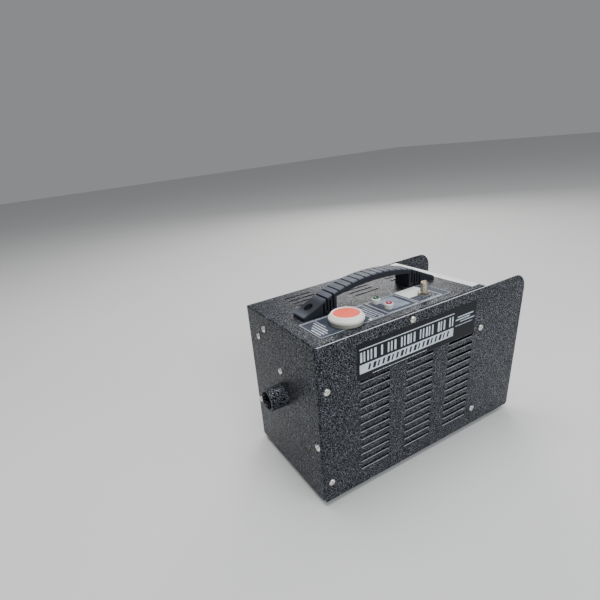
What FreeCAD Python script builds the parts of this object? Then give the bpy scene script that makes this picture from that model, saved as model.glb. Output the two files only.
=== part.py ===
"""Fog machine: a folded sheet-steel case with two rear cheeks, a moulded handle, a control strip on top, a
heater and pump inside, and a fluid bottle in the bay between the cheeks.

Frame: origin under the middle of the whole machine at foot level, +X towards the rear bay, the fog outlet at
the -X end, +Y to the far side, +Z up. Millimetres.
"""
import FreeCAD, Part
import math
import os
import re

import Sketcher

doc = FreeCAD.newDocument("fog_machine")
Vector = FreeCAD.Vector

# ---------------------------------------------------------------- driving dimensions
SIZES = {
    "overall_length": 400, "nozzle_reach": 26, "casing_length": 285, "casing_width": 178,
    "casing_height": 233, "foot_height": 8, "sheet": 1.5, "bend": 2.5,
    "front_flange": 20, "top_flange": 16, "seam": 1, "cover_gap": 2.5,
    "tray_wall": 20, "tray_notch": 22, "rear_inset": 13, "rear_flange": 18, "fit_gap": 0.3,
    "cheek_radius": 25, "cheek_foot_radius": 4,
    "slot_length": 49, "slot_width": 5, "slot_first": 62, "slot_pitch": 78, "slot_low": 24.8, "slot_rise": 12.45,
    "vent_length": 45, "vent_width": 3, "vent_first": 53, "vent_pitch": 80, "vent_low": 93.5, "vent_rise": 12.1,
    "screw_hole": 2.75, "screw_shank": 2.5, "screw_head": 4.75, "screw_head_height": 3, "screw_length": 10,
    "nut_flats": 8, "nut_thickness": 4, "nut_bore": 2.52,
    "foot_radius": 12, "foot_foot_radius": 10, "foot_recess": 5, "foot_web": 4.2, "foot_inset": 24,
    "foot_spread": 64, "small_shank": 2, "small_head": 3.5, "small_head_height": 2.2, "small_length": 5.2,
    "handle_length": 233, "handle_width": 27, "handle_place": 146, "handle_side": 8, "handle_toe": 5,
    "handle_ramp": 82, "handle_ramp_rise": 20.5, "handle_spring": 73, "handle_spring_rise": 25,
    "handle_rise": 36.5, "gap_half": 64, "gap_shoulder": 21, "gap_rise": 27.3, "handle_corner": 3,
    "handle_chamfer": 1.4, "groove_width": 2.1, "groove_depth": 2.5, "groove_pitch": 11,
    "handle_hole": 100, "handle_bore": 6, "handle_seat": 3.5,
    "label_thick": 0.3, "sticker_thick": 0.15,
    "button_x": 69, "button_y": 57, "ring_radius": 20.8, "ring_height": 4.5, "ring_bore": 14.5,
    "barrel_radius": 11, "barrel_flange": 14, "barrel_length": 26, "barrel_bore": 8.6, "barrel_floor": 4,
    "bezel_radius": 22.3, "bezel_height": 13.3, "bezel_bore": 16.4, "cap_radius": 16.05, "cap_low": 6,
    "cap_top": 12.6, "stem_radius": 4, "stem_bore": 4.06, "stem_reach": 33,
    "block_side": 26, "block_height": 22,
    "lamp_x": 136, "lamp_near": 59, "lamp_far": 35, "lamp_radius": 5.6, "lamp_height": 7, "lamp_lens": 4.1,
    "lamp_barrel": 4.5, "lamp_barrel_length": 12, "lamp_core": 3.5, "lamp_depth": 24,
    "dial_x": 203, "dial_y": 55, "bush_radius": 4.9, "bush_height": 18, "spindle_radius": 3,
    "spindle_bore": 3.05, "spindle_top": 19.4, "pot_radius": 12, "pot_depth": 16, "washer_radius": 8.5,
    "washer_thick": 0.8, "dial_nut_flats": 14, "dial_nut_thick": 4,
    "nozzle_radius": 16, "nozzle_bore": 13, "nozzle_height": 125, "nozzle_flange": 22, "nozzle_neck": 15.5,
    "nozzle_bead": 1,
    "block_front": 24, "block_length": 130, "block_width": 70, "block_tall": 60, "element_radius": 6,
    "shield_width": 164, "shield_height": 174, "shield_length": 176, "shield_front": 20,
    "bottle_length": 76, "bottle_width": 104, "bottle_tall": 140, "bottle_x": 153, "bottle_y": 28,
    "bottle_wall": 1.6, "bottle_corner": 14, "neck_radius": 17, "neck_height": 16, "bottle_cap_radius": 20,
    "bottle_cap_height": 16, "hose_radius": 4, "hose_bore": 2.5, "barb_radius": 2.45,
    "elbow_x": 119, "elbow_y": 31, "elbow_z": 136, "hose_top": 195, "hose_bend": 30,
    "inlet_y": 50, "inlet_z": 72, "remote_y": 55, "remote_z": 128,
    "pump_x": 58, "pump_y": 20, "pump_z": 80, "plunger_radius": 6, "plunger_bore": 6.05,
    "wire_radius": 0.55, "spring_radius": 6.4, "spring_pitch": 3.5,
}
sheet = doc.addObject("Spreadsheet::Sheet", "Sizes")
for row, (name, number) in enumerate(SIZES.items(), start=1):
    sheet.set(f"A{row}", name)
    sheet.set(f"B{row}", str(number))
    sheet.setAlias(f"B{row}", name)
doc.recompute()

# Places worked out from the driving dimensions, as formulas of the sheet's names
FRONT = "(nozzle_reach - overall_length / 2)"
REAR = "(nozzle_reach - overall_length / 2 + casing_length)"
END = "(overall_length / 2)"
BASE = "foot_height"
FLOOR = "(foot_height + sheet)"
TOP = "(foot_height + casing_height)"
STRIP = "(foot_height + casing_height + label_thick)"
SIDE = "(casing_width / 2)"
INNER = "(casing_width / 2 - sheet)"
BACK = f"({REAR} - rear_inset)"
NOZZLE = "(foot_height + nozzle_height)"


def bound(formula):
    """A formula with the sheet's name put before each of its aliases, as the document's expressions need."""
    return re.sub(r"[a-z_]+", lambda word: "Sizes." + word[0] if word[0] in SIZES else word[0], str(formula))


def number(formula):
    """The present value of a formula of the sheet's names."""
    return float(sheet.evalExpression(bound(formula)))


# ---------------------------------------------------------------- ways of making pieces
def plane_of(body, name):
    return next(item for item in body.Origin.OriginFeatures if item.Role == name + "_Plane")


def new_sketch(body, plane, lift="0"):
    """A sketch on one of the body's origin planes, moved along the plane's normal by lift."""
    sketch = body.newObject("Sketcher::SketchObject", body.Label + "_sketch")
    sketch.AttachmentSupport = (plane_of(body, plane), [""])
    sketch.MapMode = "FlatFace"
    sketch.setExpression("AttachmentOffset.Base.z", bound(lift))
    return sketch


def fix_point(sketch, curve, end, across, up):
    """Ties one point of a curve to two formulas, measured from the sketch's origin."""
    for kind, formula in (("DistanceX", across), ("DistanceY", up)):
        index = sketch.addConstraint(Sketcher.Constraint(kind, -1, 1, curve, end, number(formula)))
        sketch.setExpression(f"Constraints[{index}]", bound(formula))


def draw_outline(sketch, points):
    """A closed outline. A point is (across, up), or ("via", across, up) where the edge is an arc through it."""
    corners = [point for point in points if point[0] != "via"]
    first = sketch.GeometryCount
    for index, corner in enumerate(corners):
        following = corners[(index + 1) % len(corners)]
        start = Vector(number(corner[0]), number(corner[1]), 0)
        end = Vector(number(following[0]), number(following[1]), 0)
        after = points[(points.index(corner) + 1) % len(points)]
        if after[0] == "via":
            middle = Vector(number(after[1]), number(after[2]), 0)
            sketch.addGeometry(Part.Arc(start, middle, end), False)
        else:
            sketch.addGeometry(Part.LineSegment(start, end), False)
    for index, corner in enumerate(corners):
        curve = first + index
        geometry = sketch.Geometry[curve]
        here = Vector(number(corner[0]), number(corner[1]), 0)
        starts_here = sketch.getPoint(curve, 1).distanceToPoint(here) < 1e-6
        fix_point(sketch, curve, 1 if starts_here else 2, corner[0], corner[1])
        following = corners[(index + 1) % len(corners)]
        if isinstance(geometry, Part.ArcOfCircle):
            fix_point(sketch, curve, 2 if starts_here else 1, following[0], following[1])
            radius = sketch.addConstraint(Sketcher.Constraint("Radius", curve, geometry.Radius))
            sketch.setDatum(radius, geometry.Radius)
        else:
            fix_point(sketch, curve, 2, following[0], following[1])


def draw_circle(sketch, across, up, radius):
    centre = Vector(number(across), number(up), 0)
    curve = sketch.addGeometry(Part.Circle(centre, Vector(0, 0, 1), number(radius)), False)
    fix_point(sketch, curve, 3, across, up)
    index = sketch.addConstraint(Sketcher.Constraint("Radius", curve, number(radius)))
    sketch.setExpression(f"Constraints[{index}]", bound(radius))


def rectangle(low_across, low_up, high_across, high_up):
    return [(low_across, low_up), (high_across, low_up), (high_across, high_up), (low_across, high_up)]


def new_body(label, at=("0", "0", "0")):
    body = doc.addObject("PartDesign::Body", label)
    body.Label = label
    for axis, formula in zip("xyz", at):
        body.setExpression(f"Placement.Base.{axis}", bound(formula))
    return body


def add_pad(body, plane, outlines, length, lift="0", circles=(), both_ways=False):
    """Material over the outlines, less the circles inside them, along the plane's normal from lift."""
    sketch = new_sketch(body, plane, lift)
    for points in outlines:
        draw_outline(sketch, points)
    for circle in circles:
        draw_circle(sketch, *circle)
    doc.recompute()
    pad = body.newObject("PartDesign::Pad", body.Label + "_pad")
    pad.Profile = sketch
    pad.setExpression("Length", bound(length))
    pad.SideType = "Symmetric" if both_ways else "One side"
    doc.recompute()
    return pad


def add_pocket(body, plane, outlines=(), circles=(), lift="0", depth=None, onward=False):
    """A cut through everything, or to depth from lift against the normal, or along it when onward is set."""
    sketch = new_sketch(body, plane, lift)
    for points in outlines:
        draw_outline(sketch, points)
    for circle in circles:
        draw_circle(sketch, *circle)
    doc.recompute()
    before = body.Shape.Volume
    pocket = body.newObject("PartDesign::Pocket", body.Label + "_cut")
    pocket.Profile = sketch
    if depth is None:
        pocket.Type = "ThroughAll"
        pocket.SideType = "Symmetric"
    else:
        pocket.setExpression("Length", bound(depth))
        pocket.Reversed = onward
    doc.recompute()
    if body.Shape.Volume >= before - 1e-6:
        raise RuntimeError(f"a cut in {body.Label} removes nothing")
    return pocket


def repeat_pocket(body, pocket, steps):
    """A pocket repeated along its sketch's two axes: steps is (count, pitch formula) across and up."""
    sketch = pocket.Profile[0]
    pattern = body.newObject("PartDesign::LinearPattern", body.Label + "_pattern")
    pattern.Originals = [pocket]
    (across, across_pitch), (up, up_pitch) = steps
    pattern.Direction = (sketch, ["H_Axis"])
    pattern.Occurrences = across
    pattern.setExpression("Length", bound(f"({across_pitch}) * {across - 1}"))
    pattern.Direction2 = (sketch, ["V_Axis"])
    pattern.Occurrences2 = up
    pattern.setExpression("Length2", bound(f"({up_pitch}) * {up - 1}"))
    body.Tip = pattern
    doc.recompute()


def add_fillet(body, chosen, radius, kind="Fillet"):
    """A fillet or chamfer on the edges of the body's tip whose bounding box the test chooses."""
    base = body.Tip
    names = [f"Edge{index}" for index, edge in enumerate(base.Shape.Edges, start=1) if chosen(edge.BoundBox)]
    feature = body.newObject("PartDesign::" + kind, body.Label + "_edges")
    feature.Base = (base, names)
    feature.setExpression("Radius" if kind == "Fillet" else "Size", bound(radius))
    doc.recompute()


def add_hollow(body, opened, wall):
    """Hollows the body to a wall, open at the faces whose bounding box the test chooses."""
    base = body.Tip
    names = [f"Face{index}" for index, face in enumerate(base.Shape.Faces, start=1) if opened(face.BoundBox)]
    hollow = body.newObject("PartDesign::Thickness", body.Label + "_wall")
    hollow.Base = (base, names)
    hollow.setExpression("Value", bound(wall))
    hollow.Reversed = True
    doc.recompute()


def turned(label, profile, at=("0", "0", "0"), axis="z"):
    """A solid of revolution: the profile's points are (radius, height) along the axis through at."""
    body = new_body(label, at)
    sketch = new_sketch(body, "XZ")
    draw_outline(sketch, profile)
    doc.recompute()
    revolution = body.newObject("PartDesign::Revolution", label + "_turn")
    revolution.Profile = sketch
    revolution.ReferenceAxis = (sketch, ["V_Axis"])
    revolution.Angle = 360
    towards = {"z": (0, 0, 1), "x": (1, 0, 0), "y": (0, 1, 0), "-x": (-1, 0, 0), "-z": (0, 0, -1)}[axis]
    body.Placement.Rotation = FreeCAD.Rotation(Vector(0, 0, 1), Vector(*towards))
    doc.recompute()
    return body


def box(label, low, high):
    """A block between two corners given as formulas."""
    block = doc.addObject("Part::Box", label)
    block.Label = label
    for side, axis, near, far in zip(("Length", "Width", "Height"), "xyz", low, high):
        block.setExpression(side, bound(f"({far}) - ({near})"))
        block.setExpression(f"Placement.Base.{axis}", bound(near))
    return block


def cylinder(label, at, radius, length, axis="z"):
    """A round bar from at, along the axis."""
    bar = doc.addObject("Part::Cylinder", label)
    bar.Label = label
    bar.setExpression("Radius", bound(radius))
    bar.setExpression("Height", bound(length))
    for name, formula in zip("xyz", at):
        bar.setExpression(f"Placement.Base.{name}", bound(formula))
    towards = {"z": (0, 0, 1), "x": (1, 0, 0), "y": (0, 1, 0), "-x": (-1, 0, 0)}[axis]
    bar.Placement.Rotation = FreeCAD.Rotation(Vector(0, 0, 1), Vector(*towards))
    return bar


def nut_blank(label, at, flats, thickness, axis="z"):
    """A six-sided prism from at, along the axis."""
    prism = doc.addObject("Part::Prism", label)
    prism.Polygon = 6
    prism.setExpression("Circumradius", bound(f"({flats}) / sqrt(3)"))
    prism.setExpression("Height", bound(thickness))
    for name, formula in zip("xyz", at):
        prism.setExpression(f"Placement.Base.{name}", bound(formula))
    towards = {"z": (0, 0, 1), "x": (1, 0, 0), "y": (0, 1, 0)}[axis]
    prism.Placement.Rotation = FreeCAD.Rotation(Vector(0, 0, 1), Vector(*towards))
    return prism


def joined(label, *solids):
    """Several solids fused into one piece."""
    fuse = doc.addObject("Part::MultiFuse", label)
    fuse.Label = label
    fuse.Shapes = list(solids)
    fuse.Refine = True
    return fuse


def cut_from(label, base, *tools):
    """A piece with every tool cut away."""
    cut = doc.addObject("Part::Cut", label)
    cut.Label = label
    cut.Base = base
    cut.Tool = tools[0] if len(tools) == 1 else joined(label + "_tools", *tools)
    return cut


def group_of(label, *solids):
    """Separate solids of one kind that share a node."""
    group = doc.addObject("Part::Compound", label)
    group.Label = label
    group.Links = list(solids)
    return group


def copies(label, master, places):
    """One linked copy of the master at each place: (x, y, z, the way its own +Z points)."""
    links = []
    for x, y, z, towards in places:
        link = doc.addObject("App::Link", label + "_copy")
        link.LinkedObject = master
        for axis, formula in zip("xyz", (x, y, z)):
            link.setExpression(f"Placement.Base.{axis}", bound(formula))
        link.Placement.Rotation = FreeCAD.Rotation(Vector(0, 0, 1), Vector(*towards))
        links.append(link)
    return group_of(label, *links)


def near(a, b):
    return abs(a - b) < 1e-4


def dome(radius, base, rise):
    """The last two points of a turned profile: a round crown from radius at base up to the axis."""
    ball = f"((({radius}) * ({radius}) + ({rise}) * ({rise})) / (2 * ({rise})))"
    half = f"(({radius}) / 2)"
    return [("via", half, f"({base}) + ({rise}) - {ball} + sqrt({ball} * {ball} - {half} * {half})"),
            ("0", f"({base}) + ({rise})")]


def hose(label, points, bends, radius, bore="0"):
    """A round hose along straight runs joined by tangent arcs, hollow where it has a bore."""
    corners = [Vector(*(number(value) for value in point)) for point in points]
    edges = []
    start = corners[0]
    for index, bend in enumerate(bends, start=1):
        corner = corners[index]
        back = (corners[index - 1] - corner).normalize()
        onward = (corners[index + 1] - corner).normalize()
        half_turn = back.getAngle(onward) / 2
        reach = number(bend) / math.tan(half_turn)
        leave, join = corner + back * reach, corner + onward * reach
        inward = (back + onward).normalize()
        middle = corner + inward * (number(bend) / math.sin(half_turn) - number(bend))
        edges.append(Part.LineSegment(start, leave).toShape())
        edges.append(Part.Arc(leave, middle, join).toShape())
        start = join
    edges.append(Part.LineSegment(start, corners[-1]).toShape())
    path = Part.Wire(edges)
    heading = corners[1] - corners[0]

    def sweep(size):
        rim = Part.Wire([Part.Circle(corners[0], heading, size).toShape()])
        return path.makePipeShell([rim], True, True)

    solid = sweep(number(radius))
    section = math.pi * number(radius) ** 2
    if number(bore) > 0:
        solid = solid.cut(sweep(number(bore)))
        section -= math.pi * number(bore) ** 2
    piece = doc.addObject("Part::Feature", label)
    piece.Label = label
    piece.Shape = solid
    print(f"{label}: length {path.Length:.1f}, bends {[number(bend) for bend in bends]}, "
          f"volume is {solid.Volume / (section * path.Length):.4f} of section times length")
    return piece


# ---------------------------------------------------------------- casing
SIDE_SCREWS = [(12, 171), (12, 31), (147, 224), (281.5, 171), (281.5, 31)]
FRONT_SCREWS = [(56, 194.5), (36, 212.5), (-1, 162.5), (77, 75), (-81, 88.5)]
side_holes = [(f"{FRONT} + {x}", f"{BASE} + {z}", "screw_hole") for x, z in SIDE_SCREWS]
FEET = [(x, y) for x in (f"{FRONT} + foot_inset", f"{END} - foot_inset") for y in ("-foot_spread", "foot_spread")]
HANDLE_X, HANDLE_Y = f"({FRONT} + handle_place)", "(-handle_side)"
BUTTON_X, BUTTON_Y = f"({FRONT} + button_x)", "(-button_y)"
LAMP_X = f"({FRONT} + lamp_x)"
DIAL_X, DIAL_Y = f"({FRONT} + dial_x)", "(-dial_y)"


def make_front_top_cover():
    """Front wall and top in one folded sheet, with narrow flanges down both sides behind the side panels."""
    body = new_body("front_top_cover")
    outline = rectangle(FRONT, f"-{INNER}", REAR, INNER)
    add_pad(body, "XY", [outline], "casing_height - cover_gap", lift=f"{BASE} + cover_gap")
    front, rear, top, low = number(FRONT), number(REAR), number(TOP), number(f"{BASE} + cover_gap")
    add_fillet(body, lambda b: (near(b.ZMin, top) and not near(b.XMin, rear))
               or (near(b.XMax, front) and near(b.YMin, b.YMax)), "bend")
    add_hollow(body, lambda b: near(b.XMin, rear) or near(b.ZMax, low), "sheet")
    window = rectangle(f"{FRONT} + front_flange", "0", f"{REAR} + sheet", f"{TOP} - top_flange")
    add_pocket(body, "XZ", [window])
    add_pocket(body, "XZ", circles=side_holes[:3])
    front_holes = [(str(y), f"{BASE} + {z}", "screw_hole") for y, z in FRONT_SCREWS]
    add_pocket(body, "YZ", circles=front_holes + [("0", NOZZLE, "nozzle_neck + 0.05")])
    top_holes = [(BUTTON_X, BUTTON_Y, "barrel_radius + 0.2"), (DIAL_X, DIAL_Y, "bush_radius + 0.2"),
                 (LAMP_X, "-lamp_near", "lamp_barrel + 0.1"), (LAMP_X, "-lamp_far", "lamp_barrel + 0.1"),
                 (f"{HANDLE_X} - handle_hole", HANDLE_Y, "screw_hole"),
                 (f"{HANDLE_X} + handle_hole", HANDLE_Y, "screw_hole")]
    add_pocket(body, "XY", circles=top_holes)
    vent_x, vent_y = f"{FRONT} + vent_first", f"vent_low - {SIDE}"
    vent = rectangle(vent_x, vent_y, f"{vent_x} + vent_length", f"{vent_y} + vent_width")
    cut = add_pocket(body, "XY", [vent])
    repeat_pocket(body, cut, ((3, "vent_pitch"), (6, "vent_rise")))
    return body


def make_base_tray():
    """Floor of the case and of the rear bay, folded up all round, with air slots under the heater."""
    body = new_body("base_tray")
    front, rear = f"{FRONT} + sheet", f"{END} - 2 * sheet"
    add_pad(body, "XY", [rectangle(front, f"-{INNER}", rear, INNER)], "tray_wall", lift=BASE)
    low, high = number(BASE), number(f"{BASE} + tray_wall")
    add_fillet(body, lambda b: near(b.ZMax, low), "bend")
    add_hollow(body, lambda b: near(b.ZMin, high), "sheet")
    corners = [rectangle(FRONT, f"{INNER} - bend", f"{FRONT} + tray_notch", f"{INNER} + 1"),
               rectangle(FRONT, f"-{INNER} - 1", f"{FRONT} + tray_notch", f"-{INNER} + bend")]
    add_pocket(body, "XY", corners, lift=f"{BASE} + cover_gap - 0.2", depth="tray_wall", onward=True)
    add_pocket(body, "XY", circles=[(x, y, "small_shank + 0.2") for x, y in FEET])
    slot = rectangle(f"{FRONT} + 60", "-40", f"{FRONT} + 100", "-36")
    cut = add_pocket(body, "XY", [slot])
    repeat_pocket(body, cut, ((2, "60"), (8, "10")))
    return body


def make_rear_panel():
    """A folded pan set in under the top, its flanges pointing rearwards, with the cut-outs for the fittings."""
    body = new_body("rear_panel")
    front = f"{BACK} - sheet"
    outline = rectangle(front, f"-{INNER}", f"{BACK} + rear_flange", INNER)
    add_pad(body, "XY", [outline], "casing_height - 2 * sheet", lift=FLOOR)
    face, back = number(front), number(f"{BACK} + rear_flange")
    add_fillet(body, lambda b: near(b.XMax, face), "bend")
    add_hollow(body, lambda b: near(b.XMin, back), "sheet")
    shoulder, ankle = f"{TOP} - top_flange - fit_gap", f"{BASE} + tray_wall + fit_gap"
    tuck = f"{INNER} - bend"
    notches = [rectangle(low_y, low_z, high_y, high_z)
               for low_y, high_y in ((tuck, SIDE), (f"-{SIDE}", f"-({tuck})"))
               for low_z, high_z in ((shoulder, f"{TOP} + 1"), ("0", ankle))]
    add_pocket(body, "YZ", notches)
    add_pocket(body, "XZ", [rectangle(REAR, shoulder, f"{END}", f"{TOP} + 1")])
    add_pocket(body, "XZ", circles=side_holes[3:])
    inlet = rectangle("-inlet_y - 14", "inlet_z - 17", "-inlet_y + 14", "inlet_z + 17")
    holes = [("-inlet_y - 20", "inlet_z", "1.7"), ("-inlet_y + 20", "inlet_z", "1.7"),
             ("-remote_y", "remote_z", "10.7"), ("-elbow_y", "elbow_z", "4.1")]
    add_pocket(body, "YZ", [inlet], circles=holes)
    return body


def make_side_panel(label, lift):
    """Flat side with its rear cheek and three columns of slots; it closes the folded cover and overlaps it."""
    body = new_body(label)
    outline = rectangle(f"{FRONT} + 2", BASE, END, f"{TOP} - seam")
    add_pad(body, "XZ", [outline], "sheet", lift=lift)
    end, top, low = number(END), number(f"{TOP} - seam"), number(BASE)
    add_fillet(body, lambda b: near(b.XMin, end) and near(b.ZMin, top), "cheek_radius")
    add_fillet(body, lambda b: near(b.XMin, end) and near(b.ZMax, low), "cheek_foot_radius")
    add_pocket(body, "XZ", circles=side_holes)
    slot_x, slot_z = f"{FRONT} + slot_first", f"{BASE} + slot_low"
    slot = rectangle(slot_x, slot_z, f"{slot_x} + slot_length", f"{slot_z} + slot_width")
    cut = add_pocket(body, "XZ", [slot])
    repeat_pocket(body, cut, ((3, "slot_pitch"), (12, "slot_rise")))
    return body


def pan_screw(label, head, height, shank, length):
    """A domed pan-head screw standing on z = 0, head up, with a cross recess."""
    body = turned(label, [("0", f"-({length})"), (shank, f"-({length})"), (shank, "0"), (head, "0"),
                          (head, f"({height}) * 0.35")] + dome(head, f"({height}) * 0.35", f"({height}) * 0.65"))
    arm, width = f"({head}) * 0.55", f"({head}) * 0.11"
    cross = [(arm, width), (width, width), (width, arm), (f"-{width}", arm), (f"-{width}", width),
             (f"-{arm}", width), (f"-{arm}", f"-{width}"), (f"-{width}", f"-{width}"), (f"-{width}", f"-{arm}"),
             (width, f"-{arm}"), (width, f"-{width}"), (arm, f"-{width}")]
    add_pocket(body, "XY", [cross], lift=f"({height}) + 1", depth=f"({height}) * 0.5 + 1")
    return body


def plain_nut(label, flats, thickness, bore):
    """A hexagon nut standing on z = 0."""
    blank = nut_blank(label + "_blank", ("0", "0", "0"), flats, thickness)
    return cut_from(label, blank, cylinder(label + "_bore", ("0", "0", "-1"), bore, f"({thickness}) + 2"))


def make_casing_fasteners():
    """The visible pan-head screws of the sides and front, and the nuts behind them."""
    screw = pan_screw("m5_screw", "screw_head", "screw_head_height", "screw_shank", "screw_length")
    nut = plain_nut("m5_nut", "nut_flats", "nut_thickness", "nut_bore")
    sides = [(f"{FRONT} + {x}", f"{sign}{SIDE}", f"{BASE} + {z}", (0, turn, 0))
             for sign, turn in (("-", -1), ("", 1)) for x, z in SIDE_SCREWS]
    front = [(FRONT, str(y), f"{BASE} + {z}", (-1, 0, 0)) for y, z in FRONT_SCREWS]
    side_nuts = [(f"{FRONT} + {x}", f"{sign}({INNER} - sheet)", f"{BASE} + {z}", (0, -turn, 0))
                 for sign, turn in (("-", -1), ("", 1)) for x, z in SIDE_SCREWS]
    front_nuts = [(f"{FRONT} + 2 * sheet", str(y), f"{BASE} + {z}", (1, 0, 0)) for y, z in FRONT_SCREWS]
    handle_nuts = [(f"{HANDLE_X} {sign} handle_hole", HANDLE_Y, f"{TOP} - sheet", (0, 0, -1)) for sign in "-+"]
    return (copies("casing_screws", screw, sides + front),
            copies("casing_nuts", nut, side_nuts + front_nuts + handle_nuts))


def make_feet():
    """Four tapered rubber feet, each with a screw up through the tray."""
    foot = turned("foot", [("small_shank + 0.2", "foot_web"), ("foot_recess", "foot_web"), ("foot_recess", "0"),
                           ("foot_foot_radius", "0"), ("foot_radius", "foot_height"),
                           ("small_shank + 0.2", "foot_height")])
    screw = pan_screw("m4_screw", "small_head", "small_head_height", "small_shank", "small_length")
    return (copies("rubber_feet", foot, [(x, y, "0", (0, 0, 1)) for x, y in FEET]),
            copies("foot_screws", screw, [(x, y, "foot_web", (0, 0, -1)) for x, y in FEET]))


# ---------------------------------------------------------------- handle
def make_carry_handle():
    """A moulded bar handle: two ramped ends, each with four folds that let it flex, and a ribbed arch."""
    body = new_body("carry_handle", (HANDLE_X, HANDLE_Y, TOP))
    half = "handle_length / 2"
    outline = [(f"-{half}", "0"), (f"-{half}", "handle_toe"), ("-handle_ramp", "handle_ramp_rise"),
               ("-handle_spring", "handle_spring_rise"), ("via", "0", "handle_rise"),
               ("handle_spring", "handle_spring_rise"), ("handle_ramp", "handle_ramp_rise"),
               (half, "handle_toe"), (half, "0")]
    add_pad(body, "XZ", [outline], "handle_width", both_ways=True)
    toe, side = number(half), number("handle_width / 2")
    add_fillet(body, lambda b: b.XLength < 1e-3 and near(abs(b.XMin), toe) and b.YLength < 1e-3, "handle_corner")
    top = number("handle_toe") - 0.5
    add_fillet(body, lambda b: b.ZMin > top and (b.YLength < side or near(abs(b.XMin), toe)),
               "handle_chamfer", kind="Chamfer")
    opening = [("-gap_half", "-1"), ("-gap_half", "gap_shoulder"), ("via", "0", "gap_rise"),
               ("gap_half", "gap_shoulder"), ("gap_half", "-1")]
    add_pocket(body, "XZ", [opening])
    folds = []
    for low, high, bottom, top in ((83.4, 85.6, "-1", "16"), (78, 80.4, "4.5", "40"), (73.2, 75.6, "-1", "19"),
                                   (68.2, 70.8, "6", "40")):
        folds.append(rectangle(str(-high), bottom, str(-low), top))
        folds.append(rectangle(str(low), bottom, str(high), top))
    add_pocket(body, "XZ", folds)
    sagitta = "(handle_rise - handle_spring_rise)"
    radius = f"((handle_spring * handle_spring + {sagitta} * {sagitta}) / (2 * {sagitta}))"
    grooves = []
    for index in range(12):
        place = f"(groove_pitch * {index - 5.5})"
        surface = f"handle_rise - {radius} + sqrt({radius} * {radius} - {place} * {place})"
        grooves.append(rectangle(f"{place} - groove_width / 2", f"{surface} - groove_depth",
                                 f"{place} + groove_width / 2", "handle_rise + 5"))
    add_pocket(body, "XZ", grooves)
    ends = ("-handle_hole", "handle_hole")
    add_pocket(body, "XY", circles=[(x, "0", "handle_bore") for x in ends], lift="handle_seat",
               depth="handle_rise", onward=True)
    add_pocket(body, "XY", circles=[(x, "0", "screw_hole") for x in ends])
    return body


def make_handle_screws():
    """The two screws at the bottom of the handle's deep holes."""
    screw = pan_screw("handle_screw", "screw_head", "screw_head_height", "screw_shank", "12")
    return copies("handle_screws", screw, [(f"{HANDLE_X} {sign} handle_hole", HANDLE_Y, f"{TOP} + handle_seat",
                                            (0, 0, 1)) for sign in "-+"])


# ---------------------------------------------------------------- labels
def make_control_label():
    """The printed overlay under the controls, pierced for them."""
    body = new_body("control_label")
    outline = rectangle(f"{FRONT} + 18", f"-{SIDE} + 14", f"{FRONT} + 235", f"-{SIDE} + 65")
    holes = [(BUTTON_X, BUTTON_Y, "barrel_radius + 0.2"), (DIAL_X, DIAL_Y, "bush_radius + 0.2"),
             (LAMP_X, "-lamp_near", "lamp_barrel + 0.1"), (LAMP_X, "-lamp_far", "lamp_barrel + 0.1")]
    add_pad(body, "XY", [outline], "label_thick", lift=TOP, circles=holes)
    return body


def make_white_stickers():
    """A plain strip along the top's rear edge and a plain square by the output control."""
    strip = box("rear_strip", (f"{REAR} - 14.5", f"-{SIDE} + 11", TOP), (f"{REAR} - 0.5", f"{SIDE} - 10",
                                                                     f"{TOP} + sticker_thick"))
    square = box("dial_square", (f"{FRONT} + 179", f"-{SIDE} + 37", STRIP),
                 (f"{FRONT} + 217", f"-{SIDE} + 65", f"{STRIP} + sticker_thick"))
    clear = cylinder("dial_clear", (DIAL_X, DIAL_Y, TOP), "washer_radius + 0.3", "3")
    return group_of("white_stickers", strip, cut_from("dial_sticker", square, clear))


def make_side_label(label, low_y, high_y):
    """A thin printed plate on the side above the slots."""
    return box(label, (f"{FRONT} + 58", low_y, f"{BASE} + 168"), (f"{FRONT} + 268", high_y, f"{BASE} + 217"))


# ---------------------------------------------------------------- fog button
BUTTON = (BUTTON_X, BUTTON_Y, STRIP)


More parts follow.
